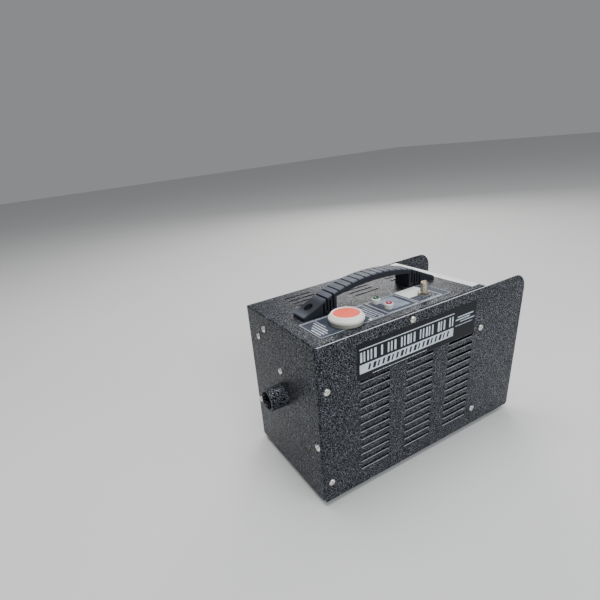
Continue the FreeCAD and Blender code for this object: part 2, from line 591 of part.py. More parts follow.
def make_fog_button():
    """A large round push button: ring, bezel, sprung cap and stem, threaded barrel, nut and contact block."""
    ring = turned("button_base_ring", [("ring_bore", "0"), ("ring_radius", "0"),
                                       ("ring_radius", "ring_height - 1"), ("ring_radius - 1", "ring_height"),
                                       ("bezel_bore", "ring_height"), ("bezel_bore", "2"), ("ring_bore", "2")],
                  BUTTON)
    bezel = turned("button_bezel", [("bezel_bore", "ring_height"), ("bezel_radius - 1", "ring_height"),
                                    ("bezel_radius", "ring_height + 1.2"), ("bezel_radius", "ring_height + 3.7"),
                                    ("via", "bezel_radius - 0.6", "ring_height + 4.9"),
                                    ("bezel_radius - 1.5", "ring_height + 5.8"),
                                    ("bezel_radius - 3.2", "bezel_height - 0.8"),
                                    ("via", "bezel_radius - 3.8", "bezel_height - 0.2"),
                                    ("bezel_radius - 4.6", "bezel_height"),
                                    ("via", "bezel_bore + 0.5", "bezel_height - 0.3"),
                                    ("bezel_bore", "bezel_height - 1.2")], BUTTON)
    cap = turned("button_cap", [("0", "-stem_reach"), ("stem_radius", "-stem_reach"), ("stem_radius", "cap_low"),
                                ("cap_radius", "cap_low"), ("cap_radius", "cap_top - 0.8"),
                                ("cap_radius - 0.8", "cap_top")] + dome("cap_radius - 0.8", "cap_top", "0.7"),
                 BUTTON)
    barrel = turned("button_barrel", [("stem_bore", "-barrel_length"), ("barrel_radius", "-barrel_length"),
                                      ("barrel_radius", "0"), ("barrel_flange", "0"), ("barrel_flange", "1.8"),
                                      ("barrel_bore", "1.8"), ("barrel_bore", "barrel_floor - barrel_length"),
                                      ("stem_bore", "barrel_floor - barrel_length")], BUTTON)
    nut_base = f"{TOP} - sheet - 5"
    nut = cut_from("button_nut", nut_blank("button_nut_blank", (BUTTON_X, BUTTON_Y, nut_base), "27", "5"),
                   cylinder("button_nut_bore", (BUTTON_X, BUTTON_Y, f"{nut_base} - 1"), "barrel_radius + 0.02", "8"))
    low, high = f"{STRIP} - barrel_length - block_height", f"{STRIP} - barrel_length"
    block = cut_from("contact_block",
                     box("contact_housing", (f"{BUTTON_X} - block_side / 2", f"{BUTTON_Y} - block_side / 2", low),
                         (f"{BUTTON_X} + block_side / 2", f"{BUTTON_Y} + block_side / 2", high)),
                     cylinder("contact_bore", (BUTTON_X, BUTTON_Y, f"{high} - 14"), "stem_radius + 0.3", "15"))
    return ring, bezel, cap, barrel, nut, block


def make_button_spring():
    """The return spring round the stem, from the barrel's floor to the cap's underside."""
    body = new_body("button_spring", BUTTON)
    sketch = new_sketch(body, "XZ")
    draw_circle(sketch, "spring_radius", "barrel_floor - barrel_length + wire_radius + 0.1", "wire_radius")
    doc.recompute()
    helix = body.newObject("PartDesign::AdditiveHelix", "button_spring_coil")
    helix.Profile = sketch
    helix.ReferenceAxis = (sketch, ["V_Axis"])
    helix.Mode = "pitch-height-angle"
    helix.Angle = 0
    helix.setExpression("Pitch", bound("spring_pitch"))
    helix.setExpression("Height", bound("cap_low + barrel_length - barrel_floor - 2 * wire_radius - 0.2"))
    doc.recompute()
    return body


# ---------------------------------------------------------------- lamps
def make_lamps():
    """Two indicator lamps: cream bezels pressed into the top, domed lenses and the lamp holders below."""
    bezel = turned("lamp_bezel", [("lamp_core + 0.1", "-lamp_barrel_length"),
                                  ("lamp_barrel", "-lamp_barrel_length"), ("lamp_barrel", "0"),
                                  ("lamp_radius - 0.5", "0"), ("lamp_radius - 0.5", "1.5"),
                                  ("lamp_radius", "lamp_height - 2.4"), ("lamp_radius", "lamp_height - 0.5"),
                                  ("lamp_radius - 0.5", "lamp_height"),
                                  ("lamp_lens + 0.1", "lamp_height"), ("lamp_lens + 0.1", "2"),
                                  ("lamp_core + 0.1", "2")])
    holder = turned("lamp_holder", [("0", "-lamp_depth"), ("lamp_core", "-lamp_depth"), ("lamp_core", "1.9"),
                                    ("0", "1.9")])
    places = [(LAMP_X, y, STRIP, (0, 0, 1)) for y in ("-lamp_near", "-lamp_far")]
    profile = [("0", "2"), ("lamp_lens", "2"), ("lamp_lens", "lamp_height")]
    profile += dome("lamp_lens", "lamp_height", "2.7")
    return (copies("lamp_bezels", bezel, places), copies("lamp_holders", holder, places),
            turned("red_lamp_lens", profile, (LAMP_X, "-lamp_near", STRIP)),
            turned("green_lamp_lens", profile, (LAMP_X, "-lamp_far", STRIP)))


# ---------------------------------------------------------------- output control
DIAL = (DIAL_X, DIAL_Y, STRIP)


def make_output_control():
    """A potentiometer without its knob: can and threaded bush, washer, nut and the turning spindle."""
    can = turned("dial_can", [("0", "-pot_depth - 2"), ("pot_radius", "-pot_depth - 2"), ("pot_radius", "-1.8"),
                              ("bush_radius", "-1.8"), ("bush_radius", "bush_height - 0.6"),
                              ("bush_radius - 0.6", "bush_height"), ("spindle_bore", "bush_height"),
                              ("spindle_bore", "-pot_depth + 2"), ("0", "-pot_depth + 2")], DIAL)
    tags = [box(f"dial_tag_{index}", (f"{DIAL_X} - 1 + {offset}", f"{DIAL_Y} + pot_radius - 1", f"{STRIP} - 12"),
                (f"{DIAL_X} + 1 + {offset}", f"{DIAL_Y} + pot_radius + 7", f"{STRIP} - 11.4"))
            for index, offset in enumerate((-5, 0, 5))]
    body = joined("dial_body", can, *tags)
    washer = turned("dial_washer", [("bush_radius + 0.02", "0"), ("washer_radius", "0"),
                                    ("washer_radius", "washer_thick"), ("bush_radius + 0.02", "washer_thick")], DIAL)
    nut_base = f"{STRIP} + washer_thick"
    nut = cut_from("dial_nut",
                   nut_blank("dial_nut_blank", (DIAL_X, DIAL_Y, nut_base), "dial_nut_flats", "dial_nut_thick"),
                   cylinder("dial_nut_bore", (DIAL_X, DIAL_Y, f"{nut_base} - 1"), "bush_radius + 0.02", "6"))
    spindle = turned("dial_spindle", [("0", "-pot_depth + 2.5"), ("spindle_radius", "-pot_depth + 2.5"),
                                      ("spindle_radius", "spindle_top - 0.4"),
                                      ("spindle_radius - 0.4", "spindle_top"), ("0", "spindle_top")], DIAL)
    add_pocket(spindle, "XY", [rectangle("-0.5", "-4", "0.5", "4")], lift="spindle_top + 1", depth="2.8")
    return body, washer, nut, spindle


# ---------------------------------------------------------------- fog outlet and heater
BLOCK_FRONT = f"({FRONT} + block_front)"
BLOCK_REAR = f"({FRONT} + block_front + block_length)"


def make_outlet():
    """The round fog outlet, swaged into the front wall between its bead and flange, and the brass jet inside."""
    bead = "nozzle_radius + nozzle_bead"
    tube = turned("nozzle_tube", [("nozzle_bore", "-nozzle_reach"), ("nozzle_radius - 0.8", "-nozzle_reach"),
                                  ("nozzle_radius", "0.8 - nozzle_reach"), ("nozzle_radius", "-nozzle_bead"),
                                  (bead, "-nozzle_bead"), (bead, "0"), ("nozzle_neck", "0"),
                                  ("nozzle_neck", "sheet"), ("nozzle_flange", "sheet"),
                                  ("nozzle_flange", "sheet + 2"), ("nozzle_neck", "sheet + 2"),
                                  ("nozzle_neck", "12"), ("nozzle_bore", "12")],
                  (FRONT, "0", NOZZLE), "x")
    jet = turned("fog_jet", [("0.8", "-8"), ("2.5", "-8"), ("5", "2"), ("5", "14"), ("8", "14"),
                             ("8", "block_front"), ("0.8", "block_front")], (FRONT, "0", NOZZLE), "x")
    return tube, jet


def make_heater():
    """An aluminium block with two cartridge elements, on a folded shelf, under a blanket and a shield."""
    half, low, high = "block_width / 2", f"{NOZZLE} - block_tall / 2", f"{NOZZLE} + block_tall / 2"
    block_box = box("heater_billet", (BLOCK_FRONT, f"-{half}", low), (BLOCK_REAR, half, high))
    rows = (("-18", f"{NOZZLE} + 17"), ("18", f"{NOZZLE} - 17"))
    bores = [cylinder(f"element_bore_{index}", (f"{BLOCK_FRONT} + 10", y, z), "element_radius", "block_length", "x")
             for index, (y, z) in enumerate(rows)]
    way = cylinder("vapour_way", (f"{BLOCK_FRONT} - 1", "0", NOZZLE), "1.5", "block_length - 10", "x")
    block = cut_from("heater_block", block_box, way, *bores)
    elements = group_of("heating_elements", *[
        joined(f"element_{index}", cylinder(f"element_rod_{index}", (f"{BLOCK_FRONT} + 10.2", y, z),
                                            "element_radius - 0.03", "block_length - 6", "x"),
               cylinder(f"element_tail_{index}", (f"{BLOCK_REAR} + 4", y, z), "2", "9", "x"))
        for index, (y, z) in enumerate(rows)])
    frame = new_body("heater_frame")
    outline = [("-85", "80"), ("-85", "106"), ("-40", "122"), ("-14", "180"), ("14", "180"), ("40", "122"),
               ("85", "96"), ("85", "74"), ("60", "74"), ("40", "86"), ("-40", "86")]
    holes = [(str(y), f"{BASE} + {z}", "screw_hole") for y, z in FRONT_SCREWS[2:]]
    add_pad(frame, "YZ", [outline], "sheet", lift=f"{FRONT} + sheet", circles=holes + [("0", NOZZLE, "22.5")])
    shelf = rectangle(f"{FRONT} + sheet", "-40", f"{BLOCK_REAR} + 4", "40")
    add_pad(frame, "XY", [shelf], "sheet", lift=f"{low} - sheet")
    wrap = box("blanket_outside", (f"{BLOCK_FRONT} + 4", "-53", f"{low} + 2"), (f"{BLOCK_REAR} - 4", "53", f"{high} + 15"))
    blanket = cut_from("insulation_blanket", wrap, box("blanket_inside", (BLOCK_FRONT, f"-{half}", "0"),
                                                       (BLOCK_REAR, half, high)))
    cutout = joined("thermal_cutout",
                    cylinder("cutout_can", (BLOCK_REAR, "-14", f"{NOZZLE} - 14"), "8", "7", "x"),
                    cylinder("cutout_cap", (f"{BLOCK_REAR} + 7", "-14", f"{NOZZLE} - 14"), "6", "3", "x"))
    shield = new_body("heat_shield")
    out, top = "shield_width / 2", f"{FLOOR} + shield_height"
    profile = [(f"-{out}", FLOOR), (f"-{out}", top), (out, top), (out, FLOOR), (f"{out} - 1", FLOOR),
               (f"{out} - 1", f"{top} - 1"), (f"1 - {out}", f"{top} - 1"), (f"1 - {out}", FLOOR)]
    add_pad(shield, "YZ", [profile], "shield_length", lift=f"{FRONT} + shield_front")
    return block, elements, frame, blanket, cutout, shield


# ---------------------------------------------------------------- pump and fluid path
PUMP_X, PUMP_Y, PUMP_Z = "pump_x", "pump_y", "pump_z"
ELBOW = ("elbow_x", "-elbow_y", "elbow_z")


def make_pump():
    """An oscillating pump standing on its inlet: coil, yoke, core tube, plunger, mounts and bracket."""
    at = (PUMP_X, PUMP_Y, PUMP_Z)
    coil = cut_from("pump_coil", box("coil_block", ("pump_x - 18", "pump_y - 18", "pump_z - 20"),
                                     ("pump_x + 18", "pump_y + 18", "pump_z + 20")),
                    cylinder("coil_bore", ("pump_x", "pump_y", "pump_z - 30"), "8.05", "60"))
    yoke = cut_from("pump_yoke", box("yoke_block", ("pump_x - 18", "pump_y - 12", "pump_z - 22"),
                                     ("pump_x + 20", "pump_y + 12", "pump_z + 22")),
                    box("yoke_inside", ("pump_x - 19", "pump_y - 13", "pump_z - 20"),
                        ("pump_x + 18", "pump_y + 13", "pump_z + 20")),
                    cylinder("yoke_bore", ("pump_x", "pump_y", "pump_z - 30"), "8.05", "60"))
    core = turned("pump_core", [("1.2", "-36"), ("barb_radius", "-36"), ("barb_radius", "-25"), ("8", "-24"),
                                ("8", "24"), ("8", "32"), ("1.2", "32"), ("1.2", "16"), ("plunger_bore", "16"),
                                ("plunger_bore", "-16"), ("1.2", "-16")], at)
    plunger = turned("pump_plunger", [("0", "-11"), ("plunger_radius", "-11"), ("plunger_radius", "11"),
                                      ("0", "11")], at)
    mounts = group_of("pump_mounts", *[cylinder(f"pump_mount_{index}", ("pump_x + 20", "pump_y", f"pump_z + {rise}"),
                                                "4.5", "4", "x") for index, rise in enumerate((-12, 12))])
    bracket = new_body("pump_bracket")
    add_pad(bracket, "XZ", [[("pump_x + 25.5", FLOOR), ("pump_x + 25.5", "pump_z + 20"),
                             ("pump_x + 24", "pump_z + 20"), ("pump_x + 24", f"{FLOOR} + 1.5"),
                             ("pump_x", f"{FLOOR} + 1.5"), ("pump_x", FLOOR)]], "24", lift="-pump_y - 12")
    return coil, yoke, core, plunger, mounts, bracket


def make_fluid_path():
    """The brass elbow through the rear panel, the hoses inside, the bottle with its cap and pick-up hose."""
    x, y, z = ELBOW
    through = f"{x} - ({BACK}) + sheet + 16"
    elbow = joined("hose_fitting",
                   cylinder("fitting_stem", (f"{BACK} - sheet - 4", y, z), "4", f"{x} - ({BACK}) + sheet + 4", "x"),
                   nut_blank("fitting_flange", (BACK, y, z), "14", "4", "x"),
                   nut_blank("fitting_nut", (f"{BACK} - sheet - 4", y, z), "13", "4", "x"),
                   cylinder("fitting_tail", (f"{BACK} - sheet - 16", y, z), "barb_radius", "13", "x"),
                   cylinder("fitting_riser", (x, y, f"{z} - 4"), "4", "12"),
                   cylinder("fitting_barb", (x, y, f"{z} + 6"), "barb_radius", "14"))
    drill = [cylinder("fitting_way", (f"{BACK} - sheet - 17", y, z), "1.3", through, "x"),
             cylinder("fitting_rise_way", (x, y, z), "1.3", "22")]
    fitting = cut_from("hose_elbow", elbow, *drill)
    suction = hose("suction_hose", [(f"{BACK} - sheet - 5.5", y, z), ("pump_x - 2", y, z),
                                    ("pump_x - 2", y, "22"), (PUMP_X, PUMP_Y, "22"),
                                    (PUMP_X, PUMP_Y, "pump_z - 25.5")], ("18", "20", "18"), "3.6", "hose_bore")
    pressure = hose("pressure_pipe", [(PUMP_X, PUMP_Y, "pump_z + 32.2"), (PUMP_X, PUMP_Y, NOZZLE),
                                      (f"{BLOCK_REAR} + 0.1", PUMP_Y, NOZZLE)], ("15",), "2.2", "1.2")
    bottle = new_body("fluid_bottle", ("bottle_x", "bottle_y", f"{FLOOR} + fit_gap"))
    length, width = "bottle_length / 2", "bottle_width / 2"
    add_pad(bottle, "XY", [rectangle(f"-{length}", f"-{width}", length, width)], "bottle_tall")
    tall = number("bottle_tall")
    add_fillet(bottle, lambda b: near(b.ZLength, tall), "bottle_corner")
    add_fillet(bottle, lambda b: near(b.ZMin, tall), "bottle_corner - 3")
    add_fillet(bottle, lambda b: near(b.ZMax, 0), "5")
    add_pad(bottle, "XY", [], "neck_height + 4", lift="bottle_tall - 4", circles=[("0", "0", "neck_radius")])
    mouth = number("bottle_tall + neck_height")
    add_hollow(bottle, lambda b: near(b.ZMin, mouth), "bottle_wall")
    neck_base = f"{FLOOR} + fit_gap + bottle_tall"
    cap = turned("bottle_cap", [("hose_radius + 0.3", "bottle_cap_height"),
                                ("hose_radius + 0.3", "bottle_cap_height + 2"),
                                ("bottle_cap_radius - 1", "bottle_cap_height + 2"),
                                ("bottle_cap_radius", "bottle_cap_height + 1"), ("bottle_cap_radius", "2.5"),
                                ("neck_radius + 0.3", "2.5"), ("neck_radius + 0.3", "bottle_cap_height + 0.3"),
                                ("hose_radius + 4", "bottle_cap_height + 0.3"),
                                ("hose_radius + 4", "bottle_cap_height")],
                 ("bottle_x", "bottle_y", neck_base))
    pick_up = hose("pickup_hose", [("bottle_x", "bottle_y", f"{FLOOR} + 12"), ("bottle_x", "bottle_y", "hose_top"),
                                   (x, y, "hose_top"), (x, y, f"{z} + 8.5")], ("hose_bend", "hose_bend"),
                   "hose_radius", "hose_bore")
    return fitting, suction, pressure, bottle, cap, pick_up


# ---------------------------------------------------------------- electrics
def make_mains_inlet():
    """An appliance inlet with three pins, and a fuse drawer above the socket that pulls out rearwards."""
    y, z = "-inlet_y", "inlet_z"
    flange = box("inlet_flange", (BACK, f"{y} - 25", f"{z} - 18.5"), (f"{BACK} + 3", f"{y} + 25", f"{z} + 18.5"))
    inside = box("inlet_housing", (f"{BACK} - 26", f"{y} - 13.8", f"{z} - 16.8"), (BACK, f"{y} + 13.8", f"{z} + 16.8"))
    socket = box("inlet_socket", (f"{BACK} - 13", f"{y} - 12", f"{z} - 15"), (f"{BACK} + 4", f"{y} + 12", f"{z} + 1.5"))
    bay = box("drawer_bay", (f"{BACK} - 20", f"{y} - 10.3", f"{z} + 4.7"), (f"{BACK} + 4", f"{y} + 10.3", f"{z} + 14.3"))
    holes = [cylinder(f"inlet_hole_{side}", (f"{BACK} - 1", f"{y} + {side}", z), "1.7", "6", "x") for side in (-20, 20)]
    spots = ((-7, -1.5), (7, -1.5), (0, 2.5))
    pins = [box(f"inlet_pin_{index}", (f"{BACK} - 32", f"{y} + {across} - 1", f"{z} - 7 + {rise} - 2"),
                (f"{BACK} - 1", f"{y} + {across} + 1", f"{z} - 7 + {rise} + 2"))
            for index, (across, rise) in enumerate(spots)]
    ways = [box(f"inlet_way_{index}", (f"{BACK} - 33", f"{y} + {across} - 1.02", f"{z} - 7 + {rise} - 2.02"),
                (f"{BACK} - 1", f"{y} + {across} + 1.02", f"{z} - 7 + {rise} + 2.02"))
            for index, (across, rise) in enumerate(spots)]
    inlet = cut_from("mains_inlet", joined("inlet_shell", flange, inside), socket, bay, *holes, *ways)
    drawer = joined("drawer_solid",
                    box("drawer_tray", (f"{BACK} - 19", f"{y} - 10", f"{z} + 5"), (f"{BACK} + 3", f"{y} + 10", f"{z} + 14")),
                    box("drawer_lip", (f"{BACK} + 3.3", f"{y} - 11", f"{z} + 4"), (f"{BACK} + 5", f"{y} + 11", f"{z} + 15")),
                    box("drawer_neck", (f"{BACK} + 3", f"{y} - 10", f"{z} + 5"), (f"{BACK} + 3.3", f"{y} + 10", f"{z} + 14")))
    hollowed = cut_from("fuse_drawer", drawer, box("drawer_hollow", (f"{BACK} - 17", f"{y} - 8", f"{z} + 7"),
                                                 (f"{BACK} + 1", f"{y} + 8", f"{z} + 15")))
    fuse = cylinder("mains_fuse", (f"{BACK} - 16.5", y, f"{z} + 9.6"), "2.5", "17", "x")
    screw = pan_screw("m3_screw", "2.75", "2", "1.5", "9")
    screws = copies("inlet_screws", screw, [(f"{BACK} + 3", f"{y} + {side}", z, (1, 0, 0)) for side in (-20, 20)])
    return inlet, hollowed, fuse, screws, pins


def make_remote_socket():
    """A round remote-control socket on a square flange, with its pins."""
    y, z = "-remote_y", "remote_z"
    flange = box("remote_flange", (BACK, f"{y} - 13", f"{z} - 15.5"), (f"{BACK} + 2.5", f"{y} + 13", f"{z} + 15.5"))
    barrel = cylinder("remote_barrel", (f"{BACK} - 18", y, z), "10.5", "18", "x")
    mouth = cylinder("remote_mouth", (f"{BACK} - 12", y, z), "8", "16", "x")
    ways = [cylinder(f"remote_way_{index}", (f"{BACK} - 24", f"{y} + {across}", f"{z} + {rise}"), "1.22", "16", "x")
            for index, (across, rise) in enumerate(((-4, 2), (4, 2), (0, -4)))]
    socket = cut_from("remote_socket", joined("remote_shell", flange, barrel), mouth, *ways)
    pins = [cylinder(f"remote_pin_{index}", (f"{BACK} - 22", f"{y} + {across}", f"{z} + {rise}"), "1.2", "20", "x")
            for index, (across, rise) in enumerate(((-4, 2), (4, 2), (0, -4)))]
    return socket, pins


def make_circuit_board():
    """The control board on four pillars inside the rear panel, with its transformer, relay and capacitors."""
    low_y, high_y, low_z, high_z, face = "-5", "80", "150", "222", f"({BACK} - sheet - 10)"
    spots = [(y, z) for y in (f"{low_y} + 5", f"{high_y} - 5") for z in (f"{low_z} + 5", f"{high_z} - 5")]
    board = cut_from("circuit_board",
                     box("board_blank", (f"{face} - 1.6", low_y, low_z), (face, high_y, high_z)),
                     *[cylinder(f"board_hole_{index}", (f"{face} - 3", y, z), "1.6", "5", "x")
                       for index, (y, z) in enumerate(spots)])
    pillars = group_of("board_pillars", *[cylinder(f"board_pillar_{index}", (face, y, z), "3", "10", "x")
                                          for index, (y, z) in enumerate(spots)])
    blocks = (("transformer", 20, 58, 158, 188, 26), ("relay", 6, 26, 196, 212, 16), ("heat_sink", 34, 64, 198, 214, 20))
    parts = [box(name, (f"{face} - 1.6 - {deep}", str(y0), str(z0)), (f"{face} - 1.6", str(y1), str(z1)))
             for name, y0, y1, z0, z1, deep in blocks]
    parts += [cylinder(f"capacitor_{index}", (f"{face} - 1.6", y, z), "5", "14", "-x")
              for index, (y, z) in enumerate((("68", "164"), ("68", "180"), ("8", "172")))]
    return board, pillars, group_of("board_components", *parts)


def make_terminal_block():
    """A moulded terminal block whose flange is held behind the front wall by its two upper screws."""
    flange = box("terminal_flange", (f"{FRONT} + sheet", "26", "185"), (f"{FRONT} + 2 * sheet", "66", "231"))
    body = box("terminal_body", (f"{FRONT} + 2 * sheet", "28", "185"), (f"{FRONT} + 31", "64", "196"))
    ways = [cylinder(f"terminal_way_{index}", (f"{FRONT} + 15", str(y), "190.5"), "1.8", "20", "x")
            for index, y in enumerate((34, 42, 50, 58))]
    holes = [cylinder(f"terminal_hole_{index}", (FRONT, str(y), f"{BASE} + {z}"), "screw_hole", "sheet * 3", "x")
             for index, (y, z) in enumerate(FRONT_SCREWS[:2])]
    return cut_from("terminal_block", joined("terminal_solid", flange, body), *ways, *holes)


# ---------------------------------------------------------------- the whole machine
NODES = []
NODES += [make_front_top_cover(), make_base_tray(), make_rear_panel()]
NODES += [make_side_panel("near_side_panel", INNER), make_side_panel("far_side_panel", f"-{SIDE}")]
NODES += make_casing_fasteners()
NODES += make_feet()
NODES += [make_carry_handle(), make_handle_screws()]
NODES += [make_control_label(), make_white_stickers()]
NODES += [make_side_label("near_side_label", f"-{SIDE} - label_thick", f"-{SIDE}"),
          make_side_label("far_side_label", SIDE, f"{SIDE} + label_thick")]
NODES += make_fog_button()
NODES += [make_button_spring()]
NODES += make_lamps()
NODES += make_output_control()
NODES += make_outlet()
NODES += make_heater()
NODES += make_pump()
NODES += make_fluid_path()
inlet_pieces = make_mains_inlet()
remote_socket, remote_pins = make_remote_socket()
NODES += inlet_pieces[:-1]
NODES += [remote_socket, group_of("connector_pins", *inlet_pieces[-1], *remote_pins)]
NODES += make_circuit_board()
NODES += [make_terminal_block()]
doc.recompute()

for item in doc.Objects:
    if "Invalid" in item.State or "Error" in item.State:
        raise RuntimeError(f"{item.Label} failed: {item.State}")
os.makedirs("parts", exist_ok=True)
print(len(NODES), "nodes")
for node in NODES:
    shape = node.Shape
    if shape.isNull() or not shape.isValid() or not shape.Solids:
        raise RuntimeError(f"{node.Label} has no valid shape")
    shape.exportStep(f"parts/{node.Label}.step")
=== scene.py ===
"""Fog machine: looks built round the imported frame, piece by piece in the order the machine goes together."""
import math

import bmesh
import bpy
import numpy as np
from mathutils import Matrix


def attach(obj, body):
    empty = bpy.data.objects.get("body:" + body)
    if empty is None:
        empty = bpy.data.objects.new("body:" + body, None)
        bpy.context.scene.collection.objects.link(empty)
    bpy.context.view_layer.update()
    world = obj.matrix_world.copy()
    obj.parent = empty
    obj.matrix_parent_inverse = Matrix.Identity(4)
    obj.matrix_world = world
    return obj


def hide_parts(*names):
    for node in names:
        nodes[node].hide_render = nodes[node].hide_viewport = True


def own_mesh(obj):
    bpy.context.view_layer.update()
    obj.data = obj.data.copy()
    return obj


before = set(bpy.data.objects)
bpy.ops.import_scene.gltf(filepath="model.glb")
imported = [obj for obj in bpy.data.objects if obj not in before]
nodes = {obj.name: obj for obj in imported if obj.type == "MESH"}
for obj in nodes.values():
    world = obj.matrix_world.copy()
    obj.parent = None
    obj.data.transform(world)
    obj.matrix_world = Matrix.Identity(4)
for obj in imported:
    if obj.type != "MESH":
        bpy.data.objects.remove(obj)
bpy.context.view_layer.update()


# ------------------------------------------------------------------ camera, floor and studio light
# The machine stands on a plain pale floor. One panel behind its rear right corner glances off the top, a large
# one hangs overhead, and two weak ones fill the control side and the front.
camera = bpy.data.objects.new("camera", bpy.data.cameras.new("camera"))
camera.location = (-0.38633, -0.41980, 0.44914)
camera.rotation_euler = [math.radians(turn) for turn in (66.1475, 6.3709, -28.0348)]
camera.data.lens = 24.057
camera.data.sensor_width = 36
camera.data.shift_x, camera.data.shift_y = 0.05834, 0.03938
camera.data.clip_start = 0.01
bpy.context.scene.collection.objects.link(camera)
bpy.context.scene.camera = camera


def soft_panel(name, place, aim, width, height, watts, tint):
    """A rectangular light at place, facing aim."""
    lamp = bpy.data.lights.new(name, "AREA")
    lamp.shape = "RECTANGLE"
    lamp.size, lamp.size_y, lamp.energy, lamp.color = width, height, watts, tint
    holder = bpy.data.objects.new(name, lamp)
    holder.location = place
    heading = np.array(aim, float) - np.array(place, float)
    holder.rotation_euler = (math.atan2(math.hypot(heading[0], heading[1]), -heading[2]), 0,
                             math.atan2(heading[1], heading[0]) - math.pi / 2)
    holder.visible_camera = False
    bpy.context.scene.collection.objects.link(holder)


soft_panel("back_panel", (1.35, 1.45, 1.15), (0, 0, 0.15), 0.9, 0.8, 15, (1.0, 0.98, 0.95))
soft_panel("side_panel_light", (0.9, -1.7, 0.9), (0, 0, 0.12), 1.2, 1.0, 10, (0.86, 0.93, 1.0))
soft_panel("front_fill", (-0.3, -1.9, 1.5), (0, 0, 0.15), 1.0, 1.0, 15, (0.95, 0.97, 1.0))
soft_panel("overhead_panel", (-0.2, 0.1, 2.3), (0, 0, 0), 1.6, 1.6, 52, (1.0, 1.0, 1.0))

world = bpy.data.worlds.new("studio")
world.use_nodes = True
world.node_tree.nodes["Background"].inputs["Color"].default_value = (0.80, 0.82, 0.85, 1)
world.node_tree.nodes["Background"].inputs["Strength"].default_value = 0.33
bpy.context.scene.world = world


def wired(tree, kind, inputs=None, **settings):
    """A node with its settings, each input given a value or joined to another node's output."""
    made = tree.nodes.new(kind)
    for name, value in settings.items():
        setattr(made, name, value)
    for socket, value in (inputs or {}).items():
        if isinstance(value, bpy.types.NodeSocket):
            tree.links.new(value, made.inputs[socket])
        else:
            made.inputs[socket].default_value = value
    return made


def new_finish(name, **shader):
    """A material whose shader has these constants on its own sockets.

    Gives the material, its tree, its shader and its Object coordinates.
    """
    material = bpy.data.materials.new(name)
    material.use_nodes = True
    tree = material.node_tree
    principled = tree.nodes["Principled BSDF"]
    for socket, value in shader.items():
        principled.inputs[socket.replace("_", " ")].default_value = value
    return material, tree, principled, wired(tree, "ShaderNodeTexCoord").outputs["Object"]


def noise(tree, coordinates, scale, detail=2.0, rough=0.5, twist=0.0):
    """Soft noise with features about one over scale metres across."""
    return wired(tree, "ShaderNodeTexNoise", {"Vector": coordinates, "Scale": scale, "Detail": detail,
                                              "Roughness": rough, "Distortion": twist}).outputs["Fac"]


def blended(tree, share, low, high):
    """The colour low where share is 0 and high where it is 1."""
    mix = wired(tree, "ShaderNodeMix", {"Factor": share}, data_type="RGBA")
    for index, colour in ((6, low), (7, high)):
        if isinstance(colour, bpy.types.NodeSocket):
            tree.links.new(colour, mix.inputs[index])
        else:
            mix.inputs[index].default_value = (*colour, 1)
    return mix.outputs[2]


def spread(tree, value, low, high, new_low=0.0, new_high=1.0):
    """A value from low to high carried on to new_low to new_high, and held there past them."""
    return wired(tree, "ShaderNodeMapRange", {"Value": value, "From Min": low, "From Max": high,
                                              "To Min": new_low, "To Max": new_high}).outputs["Result"]


def bumped(tree, principled, height, depth, strength=1.0):
    """Relief of that depth in metres on the shader's normal."""
    bump = wired(tree, "ShaderNodeBump", {"Height": height, "Distance": depth, "Strength": strength})
    tree.links.new(bump.outputs["Normal"], principled.inputs["Normal"])


def floor_finish():
    """Pale matt paper, very faintly clouded."""
    material, tree, principled, place = new_finish("pale_floor", Roughness=0.85, Specular_IOR_Level=0.2)
    cloud = noise(tree, place, 3.0, 3.0)
    tree.links.new(blended(tree, cloud, (0.70, 0.70, 0.69), (0.74, 0.74, 0.73)), principled.inputs["Base Color"])
    return material


floor = bpy.data.objects.new("floor", bpy.data.meshes.new("floor"))
floor.data.from_pydata([(-9, -9, 0), (9, -9, 0), (9, 9, 0), (-9, 9, 0)], [], [(0, 1, 2, 3)])
floor.data.materials.append(floor_finish())
bpy.context.scene.collection.objects.link(floor)


